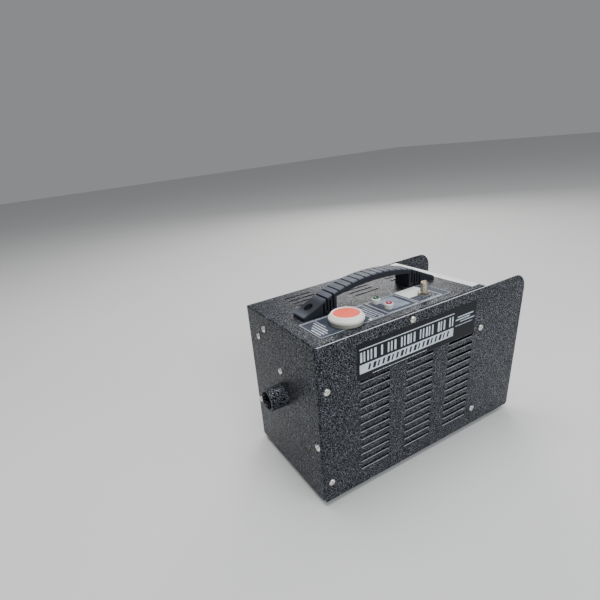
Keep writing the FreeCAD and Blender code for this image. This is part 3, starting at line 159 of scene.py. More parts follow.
# ------------------------------------------------------------------ casing
# Folded and laser-cut mild steel sheet, 1.5 mm: one piece for the front and top, a tray for the floor, two flat
# sides that run on as cheeks, and a pan behind. All of it is stove-enamelled in black hammertone.
def hammertone(name, light, width, wear_and_painted_highlight=0.0):
    """Black enamel crossed by fine light worm-shaped veins: the veins are where a soft noise passes its middle.

    Where the last argument is over 0, faces that look up, such as the slots' lower edges, are painted that far
    towards pale steel grey: a painted highlight standing in for light falling on them from above.
    """
    material, tree, principled, place = new_finish(name, Specular_IOR_Level=0.12)
    cells = noise(tree, place, 480, 1.0, 0.5, 0.3)
    off_middle = wired(tree, "ShaderNodeMath", {0: cells, 1: 0.5}, operation="SUBTRACT").outputs[0]
    away = wired(tree, "ShaderNodeMath", {0: off_middle}, operation="ABSOLUTE").outputs[0]
    vein = spread(tree, away, 0.004, width, 1.0, 0.0)
    cloud = spread(tree, noise(tree, place, 60, 2.0), 0.3, 0.7, 0.75, 1.0)
    share = wired(tree, "ShaderNodeMath", {0: vein, 1: cloud}, operation="MULTIPLY").outputs[0]
    paint = blended(tree, share, (0.002, 0.0022, 0.003), light)
    shine = spread(tree, share, 0.0, 1.0, 0.0, 0.45)
    # Painted highlight: faces whose normal points up are blended towards pale steel grey, as light falling from above
    # would show them.
    if wear_and_painted_highlight:
        facing = wired(tree, "ShaderNodeSeparateXYZ", {0: wired(tree, "ShaderNodeNewGeometry").outputs["Normal"]})
        painted_highlight = wired(tree, "ShaderNodeMath", {0: spread(tree, facing.outputs["Z"], 0.45, 0.8, 0.0, wear_and_painted_highlight),
                                              1: spread(tree, noise(tree, place, 260, 3.0), 0.3, 0.55, 0.6, 1.0)},
                     operation="MULTIPLY").outputs[0]
        paint = blended(tree, painted_highlight, paint, (0.70, 0.72, 0.76))
    tree.links.new(paint, principled.inputs["Base Color"])
    tree.links.new(shine, principled.inputs["Metallic"])
    tree.links.new(spread(tree, share, 0.0, 1.0, 0.34, 0.42), principled.inputs["Roughness"])
    bumped(tree, principled, cells, 0.0009, 0.8)
    return material


vein_colour, vein_width = (0.46, 0.49, 0.57), 0.025
enamel = hammertone("hammertone_paint", vein_colour, vein_width)


def merged_copy(name, node):
    """A node's surface as a new mesh: doubles merged, and triangles that lie in one plane joined."""
    mesh = bpy.data.meshes.new(name)
    work = bmesh.new()
    work.from_mesh(nodes[node].data)
    bmesh.ops.remove_doubles(work, verts=work.verts, dist=2e-6)
    bmesh.ops.dissolve_limit(work, angle_limit=math.radians(0.4), verts=work.verts, edges=work.edges)
    work.to_mesh(mesh)
    work.free()
    for extra in [item.name for item in mesh.attributes if item.name in ("custom_normal", "sharp_face")]:
        mesh.attributes.remove(mesh.attributes[extra])
    return mesh


def add_piece(name, mesh, finish, body, stands_for):
    """The mesh as a piece on its body, in its finish, in place of the nodes that it stands for."""
    piece = bpy.data.objects.new(name, mesh)
    bpy.context.scene.collection.objects.link(piece)
    mesh.materials.clear()
    mesh.materials.append(finish)
    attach(piece, body)
    if stands_for:
        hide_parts(*stands_for)
    return piece


def softened(node, ease, finish, body="case", layers=2, over=32):
    """A node with edges sharper than over degrees eased by a narrow bevel, as cut and moulded edges are."""
    mesh = merged_copy(node + "_finished", node)
    mesh.shade_smooth()
    piece = add_piece(node + "_finished", mesh, finish, body, [node])
    bevel = piece.modifiers.new("eased_edges", "BEVEL")
    bevel.width, bevel.segments, bevel.limit_method = ease, layers, "ANGLE"
    bevel.angle_limit = math.radians(over)
    bevel.use_clamp_overlap = True
    bevel.harden_normals = True
    return piece


# The side panels' enamel carries that painted highlight on every face that looks up, the slots' lower edges among
# them.
enamel_with_painted_highlight = hammertone("hammertone_painted_highlight", vein_colour, vein_width, wear_and_painted_highlight=0.9)
for sheet_part in ("front_top_cover", "base_tray", "rear_panel"):
    softened(sheet_part, 0.00035, enamel)
for sheet_part in ("near_side_panel", "far_side_panel"):
    softened(sheet_part, 0.00035, enamel_with_painted_highlight)


# ------------------------------------------------------------------ casing screws and nuts
# M5 pan-head screws in bright nickel plate with cross recesses, five in each side and five in the front, each
# run into a zinc-plated nut behind the sheet.
def grid_faces(rows, columns, close_rows=False, close_columns=False):
    """Quads between the neighbours of a rows by columns grid of points, round to the start where it closes."""
    row = np.arange(rows if close_rows else rows - 1)[:, None]
    column = np.arange(columns if close_columns else columns - 1)[None, :]
    next_row, next_column = (row + 1) % rows, (column + 1) % columns
    corners = [row * columns + column, next_row * columns + column,
               next_row * columns + next_column, row * columns + next_column]
    return np.stack([corner.ravel() for corner in corners], axis=1)


def finished_mesh(name, points, faces, crisp=35):
    """Points and faces as a mesh: doubles merged, faces turned outwards, smooth but for edges over crisp degrees."""
    mesh = bpy.data.meshes.new(name)
    mesh.from_pydata(np.asarray(points, float).reshape(-1, 3).tolist(), [], np.asarray(faces).tolist())
    work = bmesh.new()
    work.from_mesh(mesh)
    bmesh.ops.remove_doubles(work, verts=work.verts, dist=1e-6)
    bmesh.ops.dissolve_degenerate(work, edges=work.edges, dist=1e-7)
    bmesh.ops.recalc_face_normals(work, faces=work.faces)
    work.to_mesh(mesh)
    work.free()
    mesh.shade_smooth()
    mesh.set_sharp_from_angle(angle=math.radians(crisp))
    return mesh


def axes_of(towards, turn=0.0):
    """Three columns: two axes square to the direction, turned about it, and the direction."""
    up = np.array(towards, float) / np.linalg.norm(towards)
    side = np.cross((0, 1, 0) if abs(up[1]) < 0.9 else (0, 0, 1), up)
    side /= np.linalg.norm(side)
    other = np.cross(up, side)
    across = math.cos(turn) * side + math.sin(turn) * other
    return np.stack([across, np.cross(up, across), up], axis=1)


def repeated(points, faces, places):
    """One shape at each place (x, y, z, towards, turn): the shape's own +Z points towards."""
    points = np.asarray(points, float).reshape(-1, 3)
    copies = [points @ axes_of(towards, turn).T + (x, y, z) for x, y, z, towards, turn in places]
    offsets = np.arange(len(places))[:, None, None] * len(points)
    return np.concatenate(copies), (np.asarray(faces)[None] + offsets).reshape(-1, np.shape(faces)[1])


def eased(corners, reach, steps=4, closed=False):
    """A profile whose corners are parabolas from reach before each corner to reach after it."""
    corners = np.array(corners, float)

    def step(side):
        length = np.maximum(np.linalg.norm(side, axis=1), 1e-12)
        return side * np.minimum(reach / length, 0.5)[:, None]

    before, after = step(np.roll(corners, 1, 0) - corners), step(np.roll(corners, -1, 0) - corners)
    share = np.linspace(0, 1, steps + 1)[None, :, None]
    rounded = ((1 - share) ** 2 * (corners + before)[:, None] + 2 * share * (1 - share) * corners[:, None]
               + share ** 2 * (corners + after)[:, None])
    if closed:
        return rounded.reshape(-1, 2)
    return np.vstack([corners[:1], rounded[1:-1].reshape(-1, 2), corners[-1:]])


def turned_points(profile, count=72):
    """Each profile point (radius r, height h) at every angle t: (r cos t, r sin t, h)."""
    radius, height = np.array(profile, float).T
    angle = np.linspace(0, 2 * np.pi, count, endpoint=False)
    return np.stack([radius[:, None] * np.cos(angle), radius[:, None] * np.sin(angle),
                     np.broadcast_to(height[:, None], (len(radius), count))], axis=-1)


def pan_head(head, height, shank, length, rings=22, count=64):
    """A screw: a shallow dome less a cross recess that deepens inwards, over a shank with rolled grooves."""
    radius = np.linspace(0, head * 0.985, rings)
    angle = np.linspace(0, 2 * np.pi, count, endpoint=False)
    rim = 0.38 * height
    crown = (height - rim) * (1 - (radius / head) ** 2) ** 0.75
    top = turned_points(np.stack([radius, rim + crown], axis=1), count)
    x, y = top[..., 0] / head, top[..., 1] / head

    def bar(along, over):
        return np.clip((0.125 - np.abs(over)) / 0.045, 0, 1) * np.clip((0.56 - np.abs(along)) / 0.09, 0, 1)

    cross = np.maximum(bar(x, y), bar(y, x))
    top[..., 2] -= cross * height * (0.62 - 0.35 * np.hypot(x, y))
    groove = np.linspace(0, 1, 2 * int(length / 0.0008) + 1)
    thread = np.stack([shank * np.where(np.arange(len(groove)) % 2 == 0, 1.0, 0.86), -length * groove], axis=1)
    lower = turned_points(np.vstack([[(head, rim * 0.75), (head, 0.0003), (head * 0.97, 0), (shank, 0)], thread,
                                     [(0, -length)]]), count)
    points = np.concatenate([top, lower])
    return points, grid_faces(len(points), count, close_columns=True)


def plated(name, colour, roughness, scratch):
    """Bright plate with fine turning marks and a little dulling."""
    material, tree, principled, place = new_finish(name, Metallic=1.0)
    dull = noise(tree, place, 160, 4.0, 0.6)
    dark = tuple(0.62 * part for part in colour)
    tree.links.new(blended(tree, spread(tree, dull, 0.35, 0.75), colour, dark), principled.inputs["Base Color"])
    tree.links.new(spread(tree, dull, 0.3, 0.8, roughness, roughness + 0.22), principled.inputs["Roughness"])
    bumped(tree, principled, noise(tree, place, 2600, 2.0), scratch, 0.5)
    return material


nickel = plated("nickel_plate", (0.86, 0.84, 0.79), 0.16, 0.00002)
zinc = plated("zinc_plate", (0.58, 0.59, 0.58), 0.34, 0.00004)

side_x, side_z = (-0.162, -0.162, -0.027, 0.1075, 0.1075), (0.179, 0.039, 0.232, 0.179, 0.039)
front_y, front_z = (0.056, 0.036, -0.001, 0.077, -0.081), (0.2025, 0.2205, 0.1705, 0.083, 0.0965)
screw_places = [(x, side * 0.089, z, (0, side, 0), 0.5 + 1.7 * index)
                for side in (-1, 1) for index, (x, z) in enumerate(zip(side_x, side_z))]
screw_places += [(-0.174, y, z, (-1, 0, 0), 0.3 + 2.1 * index)
                 for index, (y, z) in enumerate(zip(front_y, front_z))]
screws = repeated(*pan_head(0.00475, 0.003, 0.0025, 0.010), screw_places)
add_piece("casing_screws_nickel", finished_mesh("casing_screws_nickel", *screws, crisp=50), nickel,
          "case", ["casing_screws"])


def hexagon_nut(flats, thickness, bore, count=60):
    """A nut: its rim is flats/2 over the cosine of the angle from the nearest flat, its corners turned off."""
    angle = np.linspace(0, 2 * np.pi, count, endpoint=False)
    rim = flats / 2 / np.cos((angle + np.pi / 6) % (np.pi / 3) - np.pi / 6)
    crown = np.full(count, flats * 0.475)
    fall = (rim - crown) * 0.5
    rows = [(np.full(count, bore), 0 * fall), (crown, 0 * fall), (rim, fall), (rim, thickness - fall),
            (crown, thickness + 0 * fall), (np.full(count, bore), thickness + 0 * fall)]
    points = np.stack([np.stack([r * np.cos(angle), r * np.sin(angle), h], axis=1) for r, h in rows])
    return points, grid_faces(len(rows), count, close_rows=True, close_columns=True)


nut_places = [(x, side * 0.086, z, (0, -side, 0), 0.2) for side in (-1, 1) for x, z in zip(side_x, side_z)]
nut_places += [(-0.171, y, z, (1, 0, 0), 0.4) for y, z in zip(front_y, front_z)]
nut_places += [(x, -0.008, 0.2395, (0, 0, -1), 0.1) for x in (-0.128, 0.072)]
nuts = repeated(*hexagon_nut(0.008, 0.004, 0.00252), nut_places)
add_piece("casing_nuts_zinc", finished_mesh("casing_nuts_zinc", *nuts), zinc, "case", ["casing_nuts"])


# ------------------------------------------------------------------ feet
# Four tapered feet moulded in black rubber, each hollow underneath and held by a small screw up through the tray.
def rubber_finish():
    """Matt black rubber with mould bloom."""
    material, tree, principled, place = new_finish("foot_rubber", Specular_IOR_Level=0.3)
    bloom = noise(tree, place, 220, 4.0, 0.6)
    tree.links.new(blended(tree, bloom, (0.012, 0.012, 0.012), (0.045, 0.044, 0.042)),
                   principled.inputs["Base Color"])
    tree.links.new(spread(tree, bloom, 0.3, 0.7, 0.62, 0.85), principled.inputs["Roughness"])
    bumped(tree, principled, noise(tree, place, 1500, 3.0), 0.00008, 0.6)
    return material


rubber = rubber_finish()
foot_places = [(x, y, 0, (0, 0, 1), 0) for x in (-0.150, 0.176) for y in (-0.064, 0.064)]
foot_profile = eased([(0.0022, 0.0042), (0.005, 0.0042), (0.005, 0.0), (0.0100, 0.0), (0.0120, 0.0068),
                      (0.0120, 0.0080), (0.0022, 0.0080)], 0.0005, closed=True)
feet = repeated(turned_points(foot_profile, 48), grid_faces(len(foot_profile), 48, True, True), foot_places)
add_piece("feet_rubber", finished_mesh("feet_rubber", *feet), rubber, "case", ["rubber_feet"])
foot_screws = repeated(*pan_head(0.0035, 0.0022, 0.002, 0.0052, 12, 32),
                       [(x, y, 0.0042, (0, 0, -1), 0.6) for x, y, *_ in foot_places])
add_piece("foot_screws_zinc", finished_mesh("foot_screws_zinc", *foot_screws, crisp=50), zinc,
          "case", ["foot_screws"])


# ------------------------------------------------------------------ heater and fog outlet
# A cast aluminium block with two cartridge elements on a galvanised shelf, wrapped in woven glass and shut in by
# a shield; its brass jet blows through a short outlet tube swaged into the front.
def cast_finish():
    """Sand-cast aluminium: grainy, with duller patches."""
    material, tree, principled, place = new_finish("cast_aluminium", Metallic=1.0)
    grain = noise(tree, place, 900, 4.0, 0.7)
    tree.links.new(blended(tree, grain, (0.42, 0.42, 0.43), (0.70, 0.70, 0.69)), principled.inputs["Base Color"])
    tree.links.new(spread(tree, grain, 0.3, 0.7, 0.38, 0.62), principled.inputs["Roughness"])
    bumped(tree, principled, grain, 0.0002, 0.8)
    return material


def galvanised_finish():
    """Dip-galvanised sheet: flat crystal patches a few millimetres across, each its own grey."""
    material, tree, principled, place = new_finish("galvanised_steel", Metallic=1.0)
    crystals = wired(tree, "ShaderNodeTexVoronoi", {"Vector": place, "Scale": 160.0}).outputs["Color"]
    tint = wired(tree, "ShaderNodeSeparateColor", {"Color": crystals}).outputs[0]
    tree.links.new(blended(tree, tint, (0.26, 0.27, 0.29), (0.46, 0.47, 0.49)), principled.inputs["Base Color"])
    tree.links.new(spread(tree, tint, 0, 1, 0.30, 0.52), principled.inputs["Roughness"])
    bumped(tree, principled, noise(tree, place, 700, 2.0), 0.00005, 0.5)
    return material


def woven_finish():
    """Plain-woven glass yarn: two square wave trains that pass over and under each other, a little scorched."""
    material, tree, principled, place = new_finish("glass_fibre", Roughness=0.8, Sheen_Weight=0.3)
    warp = wired(tree, "ShaderNodeTexWave", {"Vector": place, "Scale": 180.0, "Distortion": 0.6},
                 bands_direction="X").outputs["Fac"]
    weft = wired(tree, "ShaderNodeTexWave", {"Vector": place, "Scale": 180.0, "Distortion": 0.6},
                 bands_direction="Z").outputs["Fac"]
    weave = wired(tree, "ShaderNodeMath", {0: warp, 1: weft}, operation="MULTIPLY").outputs[0]
    scorch = spread(tree, noise(tree, place, 22, 3.0), 0.45, 0.7)
    cloth = blended(tree, weave, (0.50, 0.48, 0.42), (0.82, 0.80, 0.74))
    tree.links.new(blended(tree, scorch, cloth, (0.42, 0.33, 0.22)), principled.inputs["Base Color"])
    bumped(tree, principled, weave, 0.0006, 0.8)
    return material


def bare_metal(name, colour, tarnish, roughness, grain=500):
    """Machined metal: a bright colour clouded with tarnish, over fine tool marks."""
    material, tree, principled, place = new_finish(name, Metallic=1.0)
    cloud = spread(tree, noise(tree, place, 120, 4.0, 0.65), 0.35, 0.7)
    tree.links.new(blended(tree, cloud, colour, tarnish), principled.inputs["Base Color"])
    tree.links.new(spread(tree, cloud, 0, 1, roughness, roughness + 0.2), principled.inputs["Roughness"])
    bumped(tree, principled, noise(tree, place, grain, 3.0), 0.00005, 0.5)
    return material


def dressed(finish, *names):
    """The finish on nodes whose own shape is right."""
    for name in names:
        piece = nodes[name]
        if not piece.material_slots:
            piece.data.materials.append(finish)
        for place in piece.material_slots:
            place.link = "OBJECT"
            place.material = finish


galvanised = galvanised_finish()
brass = bare_metal("turned_brass", (0.78, 0.60, 0.30), (0.46, 0.33, 0.17), 0.22)
ground_steel = bare_metal("ground_steel", (0.62, 0.62, 0.61), (0.38, 0.37, 0.36), 0.28)
dressed(cast_finish(), "heater_block")
dressed(galvanised, "heater_frame", "pump_bracket")
dressed(woven_finish(), "insulation_blanket")
dressed(ground_steel, "heating_elements", "pump_plunger")
dressed(brass, "fog_jet", "pump_core")
softened("heat_shield", 0.0003, enamel)

# The outlet's lip is ground round, stands 26 mm out, and has a bead against the front wall.
outlet_profile = eased([(0.0130, -0.0260), (0.0160, -0.0260), (0.0160, -0.0012), (0.0170, -0.0010), (0.0170, 0.0),
                        (0.0155, 0.0), (0.0155, 0.0015), (0.0220, 0.0015), (0.0220, 0.0035), (0.0155, 0.0035),
                        (0.0155, 0.0120), (0.0130, 0.0120)], 0.0007, closed=True)
outlet = repeated(turned_points(outlet_profile, 96), grid_faces(len(outlet_profile), 96, True, True),
                  [(-0.174, 0, 0.133, (1, 0, 0), 0)])
add_piece("outlet_tube", finished_mesh("outlet_tube", *outlet), enamel, "case", ["nozzle_tube"])


# ------------------------------------------------------------------ pump and pipes
# A solenoid pump on rubber mounts: a taped coil in a zinc yoke round a brass core. Clear hose feeds it from the
# rear fitting and a bent copper pipe takes the fluid on to the heater.
def moulded(name, colour, dark, roughness, grain=900, depth=0.00006, **shader):
    """Moulded plastic: clouded between two shades, with a fine grain in its polish and relief."""
    material, tree, principled, place = new_finish(name, **shader)
    cloud = noise(tree, place, 45, 4.0, 0.6)
    fine = noise(tree, place, grain, 3.0, 0.6)
    tree.links.new(blended(tree, spread(tree, cloud, 0.3, 0.75), colour, dark), principled.inputs["Base Color"])
    tree.links.new(spread(tree, fine, 0.3, 0.7, roughness - 0.06, roughness + 0.10), principled.inputs["Roughness"])
    bumped(tree, principled, fine, depth, 0.6)
    return material


black_plastic = moulded("black_plastic", (0.022, 0.022, 0.024), (0.034, 0.034, 0.036), 0.42)
grey_plastic = moulded("grey_plastic", (0.42, 0.42, 0.41), (0.34, 0.34, 0.33), 0.45)
clear_tube = moulded("clear_hose", (0.86, 0.88, 0.84), (0.78, 0.79, 0.70), 0.16, 400, 0.00003,
                     Transmission_Weight=0.75, IOR=1.42)
copper = bare_metal("copper_pipe", (0.80, 0.45, 0.30), (0.42, 0.22, 0.14), 0.24)
for node in ("pump_coil", "contact_block", "thermal_cutout"):
    softened(node, 0.0006, black_plastic)
softened("pump_yoke", 0.0003, zinc)
dressed(rubber, "pump_mounts")
dressed(clear_tube, "suction_hose", "pickup_hose")
dressed(copper, "pressure_pipe")


# ------------------------------------------------------------------ control board and terminal block
# A green-lacquered board on grey pillars behind the rear panel, and a glazed ceramic terminal block held by the
# front's two upper screws.
def board_finish():
    """Green lacquer over copper tracks: thin square-cornered lanes show a little lighter."""
    material, tree, principled, place = new_finish("board_lacquer", Roughness=0.32, Coat_Weight=0.4)
    lanes = wired(tree, "ShaderNodeTexBrick", {"Vector": wired(tree, "ShaderNodeMapping", {
        "Vector": place, "Rotation": (0, math.pi / 2, 0)}).outputs[0], "Scale": 60.0,
        "Mortar Size": 0.06, "Color1": (0, 0, 0, 1), "Color2": (0, 0, 0, 1), "Mortar": (1, 1, 1, 1)}).outputs["Fac"]
    tree.links.new(blended(tree, lanes, (0.018, 0.13, 0.05), (0.05, 0.26, 0.11)), principled.inputs["Base Color"])
    bumped(tree, principled, lanes, 0.00004, 0.8)
    return material


ceramic = moulded("glazed_ceramic", (0.86, 0.84, 0.78), (0.78, 0.75, 0.68), 0.16, 300, 0.00004, Coat_Weight=0.5)
softened("circuit_board", 0.0002, board_finish())
dressed(grey_plastic, "board_pillars")
softened("board_components", 0.0006, black_plastic)
softened("terminal_block", 0.0006, ceramic)


# ------------------------------------------------------------------ rear fittings
# An appliance inlet whose fuse drawer pulls out above the pins, a round remote-control socket, and the brass
# elbow that the fluid hose pushes on to.
for node in ("mains_inlet", "remote_socket"):
    softened(node, 0.0005, black_plastic)
softened("fuse_drawer", 0.0004, black_plastic, body="fuse_holder")
softened("hose_elbow", 0.0003, brass)
dressed(ground_steel, "connector_pins")


def fuse_finish():
    """A glass fuse between two metal ends: the ends are where x is within 5 mm of either end."""
    material, tree, principled, place = new_finish("fuse_glass", Roughness=0.12)
    along = wired(tree, "ShaderNodeSeparateXYZ", {"Vector": place}).outputs["X"]
    off_middle = wired(tree, "ShaderNodeMath", {0: along, 1: 0.090}, operation="SUBTRACT").outputs[0]
    reach = wired(tree, "ShaderNodeMath", {0: off_middle}, operation="ABSOLUTE").outputs[0]
    cap = wired(tree, "ShaderNodeMath", {0: reach, 1: 0.0042}, operation="GREATER_THAN").outputs[0]
    tree.links.new(blended(tree, cap, (0.85, 0.88, 0.88), (0.75, 0.74, 0.70)), principled.inputs["Base Color"])
    tree.links.new(cap, principled.inputs["Metallic"])
    tree.links.new(spread(tree, cap, 0, 1, 0.7, 0.0), principled.inputs["Transmission Weight"])
    return material


dressed(fuse_finish(), "mains_fuse")
inlet_screws = repeated(*pan_head(0.00275, 0.002, 0.0015, 0.009, 14, 40),
                        [(0.101, y, 0.072, (1, 0, 0), 0.7 + y * 40) for y in (-0.070, -0.030)])
add_piece("inlet_screws_nickel", finished_mesh("inlet_screws_nickel", *inlet_screws, crisp=50), nickel,
          "case", ["inlet_screws"])


# ------------------------------------------------------------------ fluid bottle
# A blow-moulded bottle in natural polythene, with a threaded neck, a ribbed red cap and a stiff pick-up hose that
# goes down through the cap.
def polythene_finish():
    """Milky polythene, clouded by uneven wall thickness."""
    material, tree, principled, place = new_finish("natural_polythene", Subsurface_Weight=0.35,
                                                   Subsurface_Scale=0.01, Transmission_Weight=0.25, IOR=1.5)
    cloud = noise(tree, place, 28, 3.0)
    tree.links.new(blended(tree, cloud, (0.80, 0.81, 0.77), (0.90, 0.91, 0.88)), principled.inputs["Base Color"])
    tree.links.new(spread(tree, cloud, 0.3, 0.7, 0.34, 0.48), principled.inputs["Roughness"])
    bumped(tree, principled, noise(tree, place, 240, 3.0), 0.0001, 0.5)
    return material


def bottle_points(count=144):
    """Rounded-rectangle rings: half length times |cos t|^(2/n) and half width times |sin t|^(2/n), n from 7 to 2."""
    wall = 0.0016
    outside = [(0, 0, 0.0098, 5), (0.030, 0.044, 0.0098, 5), (0.0345, 0.0485, 0.0104, 5.5),
               (0.0375, 0.0515, 0.0135, 6.5), (0.038, 0.052, 0.020, 7), (0.038, 0.052, 0.036, 7),
               (0.0372, 0.0512, 0.0375, 7), (0.0372, 0.0512, 0.1135, 7), (0.038, 0.052, 0.115, 7),
               (0.038, 0.052, 0.133, 7), (0.0374, 0.0514, 0.1385, 6.5), (0.0355, 0.0495, 0.1430, 5.5),
               (0.032, 0.045, 0.1465, 4.6), (0.026, 0.036, 0.1488, 3.4), (0.0185, 0.0195, 0.1497, 2.2),
               (0.0170, 0.0170, 0.1515, 2), (0.0170, 0.0170, 0.1650, 2), (0.0168, 0.0168, 0.1658, 2)]
    inside = [(max(a - wall, 0), max(b - wall, 0), z + (wall if z < 0.011 else -wall if 0.14 < z < 0.151 else 0), n)
              for a, b, z, n in outside[::-1]]
    a, b, z, n = (np.array(column)[:, None] for column in zip(*(outside + inside)))
    angle = np.linspace(0, 2 * np.pi, count, endpoint=False)[None]
    x = a * np.sign(np.cos(angle)) * np.abs(np.cos(angle)) ** (2 / n)
    y = b * np.sign(np.sin(angle)) * np.abs(np.sin(angle)) ** (2 / n)
    points = np.stack([0.153 + x, 0.028 + y, z + 0 * x], axis=-1)
    return points, grid_faces(len(points), count, close_columns=True)


add_piece("bottle_moulding", finished_mesh("bottle_moulding", *bottle_points(), crisp=40), polythene_finish(),
          "bottle", ["fluid_bottle"])


def ribbed_cap(count=240):
    """The cap's profile turned about its axis, its skirt less 0.45 mm in each of 40 round-bottomed grooves."""
    profile = eased([(0.0043, 0.1658), (0.0043, 0.1678), (0.0190, 0.1678), (0.0200, 0.1666), (0.0200, 0.1523),
                     (0.0173, 0.1523), (0.0173, 0.1661), (0.0080, 0.1661), (0.0080, 0.1658)], 0.0006, closed=True)
    points = turned_points(profile, count)
    angle = np.linspace(0, 2 * np.pi, count, endpoint=False)
    groove = 0.00045 * np.abs(np.sin(20 * angle)) ** 0.6
    radius, height = profile[:, :1], profile[:, 1:]
    outer = np.clip((radius - 0.0192) / 0.0006, 0, 1) * np.clip((0.1664 - height) / 0.001, 0, 1)
    points[..., :2] *= (1 - outer * groove / np.maximum(radius, 1e-6))[..., None]
    return points + (0.153, 0.028, 0), grid_faces(len(profile), count, True, True)


red_cap = moulded("red_cap", (0.62, 0.055, 0.04), (0.50, 0.04, 0.03), 0.36)
add_piece("bottle_cap_ribbed", finished_mesh("bottle_cap_ribbed", *ribbed_cap()), red_cap,
          "bottle_lid", ["bottle_cap"])


# ------------------------------------------------------------------ labels
# A printed overlay under the controls, a printed plate on each side, and plain white vinyl pieces on the rear
# edge and by the output control. The print is screened ink, a few hundredths of a millimetre proud.
def printed_film(name, colour, worn, roughness):
    """Printed film with worn patches, faint scratches and a matt grain."""
    material, tree, principled, place = new_finish(name, Specular_IOR_Level=0.16)
    wear_and_painted_highlight = spread(tree, noise(tree, place, 70, 4.0, 0.65), 0.45, 0.75)
    tree.links.new(blended(tree, wear_and_painted_highlight, colour, worn), principled.inputs["Base Color"])
    tree.links.new(spread(tree, wear_and_painted_highlight, 0, 1, roughness, roughness + 0.2), principled.inputs["Roughness"])
    bumped(tree, principled, noise(tree, place, 1400, 2.0), 0.00002, 0.5)
    return material


overlay_film = printed_film("overlay_film", (0.040, 0.047, 0.064), (0.085, 0.095, 0.115), 0.5)
plate_film = printed_film("plate_film", (0.006, 0.007, 0.010), (0.014, 0.016, 0.020), 0.42)
white_film = printed_film("white_vinyl", (0.80, 0.81, 0.80), (0.68, 0.69, 0.68), 0.40)
# The white ink is tinted blue: a painted sky tint, standing in for blue skylight falling on white print.
white_ink_painted_sky_tint = printed_film("white_ink_painted_sky_tint", (0.66, 0.72, 0.80), (0.46, 0.50, 0.56), 0.45)
grey_ink = printed_film("grey_ink", (0.24, 0.28, 0.34), (0.16, 0.18, 0.22), 0.45)
black_ink = printed_film("black_ink", (0.008, 0.009, 0.012), (0.02, 0.022, 0.026), 0.4)
dressed(overlay_film, "control_label")
dressed(plate_film, "near_side_label", "far_side_label")
dressed(white_film, "white_stickers")


def bars(rows):
    """Rectangles as corner pairs (u, v), one per row of low u, low v, high u, high v, and lean of the top edge."""
    rows = np.array([(*row, 0)[:5] for row in rows], float)
    low_u, low_v, high_u, high_v, lean = rows.T
    return np.stack([np.stack([low_u, low_v], 1), np.stack([high_u, low_v], 1),
                     np.stack([high_u + lean, high_v], 1), np.stack([low_u + lean, high_v], 1)], axis=1)


def frames(boxes, line):
    """Four bars round each box of low u, low v, high u, high v."""
    return [bar for a, b, c, d in boxes
            for bar in ((a, b, c, b + line), (a, d - line, c, d), (a, b, a + line, d), (c - line, b, c, d))]


def box_faces(count):
    """The six faces of each of count boxes, whose corners run four below and then four above."""
    box = np.array([(0, 1, 2, 3), (4, 7, 6, 5), (0, 4, 5, 1), (1, 5, 6, 2), (2, 6, 7, 3), (3, 7, 4, 0)])
    return (box[None] + 8 * np.arange(count)[:, None, None]).reshape(-1, 4)


def ink(name, rows, finish, place):
    """Flat print: each bar's corners at height 0 and at ink height, carried to the surface by place(u, v, height)."""
    corners = bars(rows) / 1000
    layers = np.stack([np.stack(place(corners[..., 0], corners[..., 1], height), axis=-1)
                       for height in (-0.00002, 0.00003)], axis=1)
    add_piece(name, finished_mesh(name, layers, box_faces(len(corners))), finish, "case", [])


def words(start, end, across, height, lengths, gap=0.9):
    """Short dashes of the given lengths in turn from start to end, as lines of small print, at one height."""
    rows, at, index = [], start, 0
    while at + lengths[index % len(lengths)] <= end:
        long = lengths[index % len(lengths)]
        rows.append((at, across, at + long, across + height))
        at, index = at + long + gap, index + 1
    return rows


def swapped(rows):
    """Bars with their two directions exchanged."""
    return [(b, a, d, c) for a, b, c, d in rows]


overlay_top = 0.2413


def on_top(u, v, height):
    """A place on the overlay: u along the machine, v across it, height above the film."""
    return u, v, np.full_like(u, overlay_top + height)


WORDS = (2.6, 1.4, 3.4, 2.0, 1.1, 2.9)
overlay_rows = frames([(-154.6, -73.6, 59.6, -25.4)], 0.5)
overlay_rows += frames([(-75, -71.5, -57, -27.5), (-50, -71.5, 1, -27.5), (4, -71.5, 45.5, -27.5)], 0.8)
overlay_rows += swapped(words(-66.5, -47, -151.4, 2.0, WORDS, 0.5) + words(-67, -40, -146.8, 1.7, WORDS, 0.5)
                        + words(-67, -36, -142.4, 1.7, WORDS, 0.5) + words(-62, -33, -138.0, 1.7, WORDS, 0.5)
                        + words(-52, -30, -133.4, 1.2, WORDS, 0.6))
overlay_rows += swapped(words(-69, -31, -71.6, 1.3, WORDS) + words(-66, -31, -67.0, 1.3, WORDS)
                        + words(-69, -36, -62.4, 1.3, WORDS))
overlay_rows += [(-81, -72.6, -77.2, -68.8), (-79, -71.5, -76, -68)]
ring_u, ring_v, ring_size, tick_half = 29, -55, 12.2, 0.5
overlay_rows += [(ring_u + ring_size * math.cos(t) - tick_half, ring_v + ring_size * math.sin(t) - tick_half,
                  ring_u + ring_size * math.cos(t) + tick_half, ring_v + ring_size * math.sin(t) + tick_half)
                 for t in np.radians(np.arange(150, 391, 24)) if math.sin(t) < 0.1]
ink("overlay_print_white", overlay_rows, white_ink_painted_sky_tint, on_top)
ink("overlay_print_grey", [(-35, -65, -6, -31), (-153.5, -28.5, -90, -26.5), (8, -70.5, 42, -68.5)], grey_ink,
    on_top)

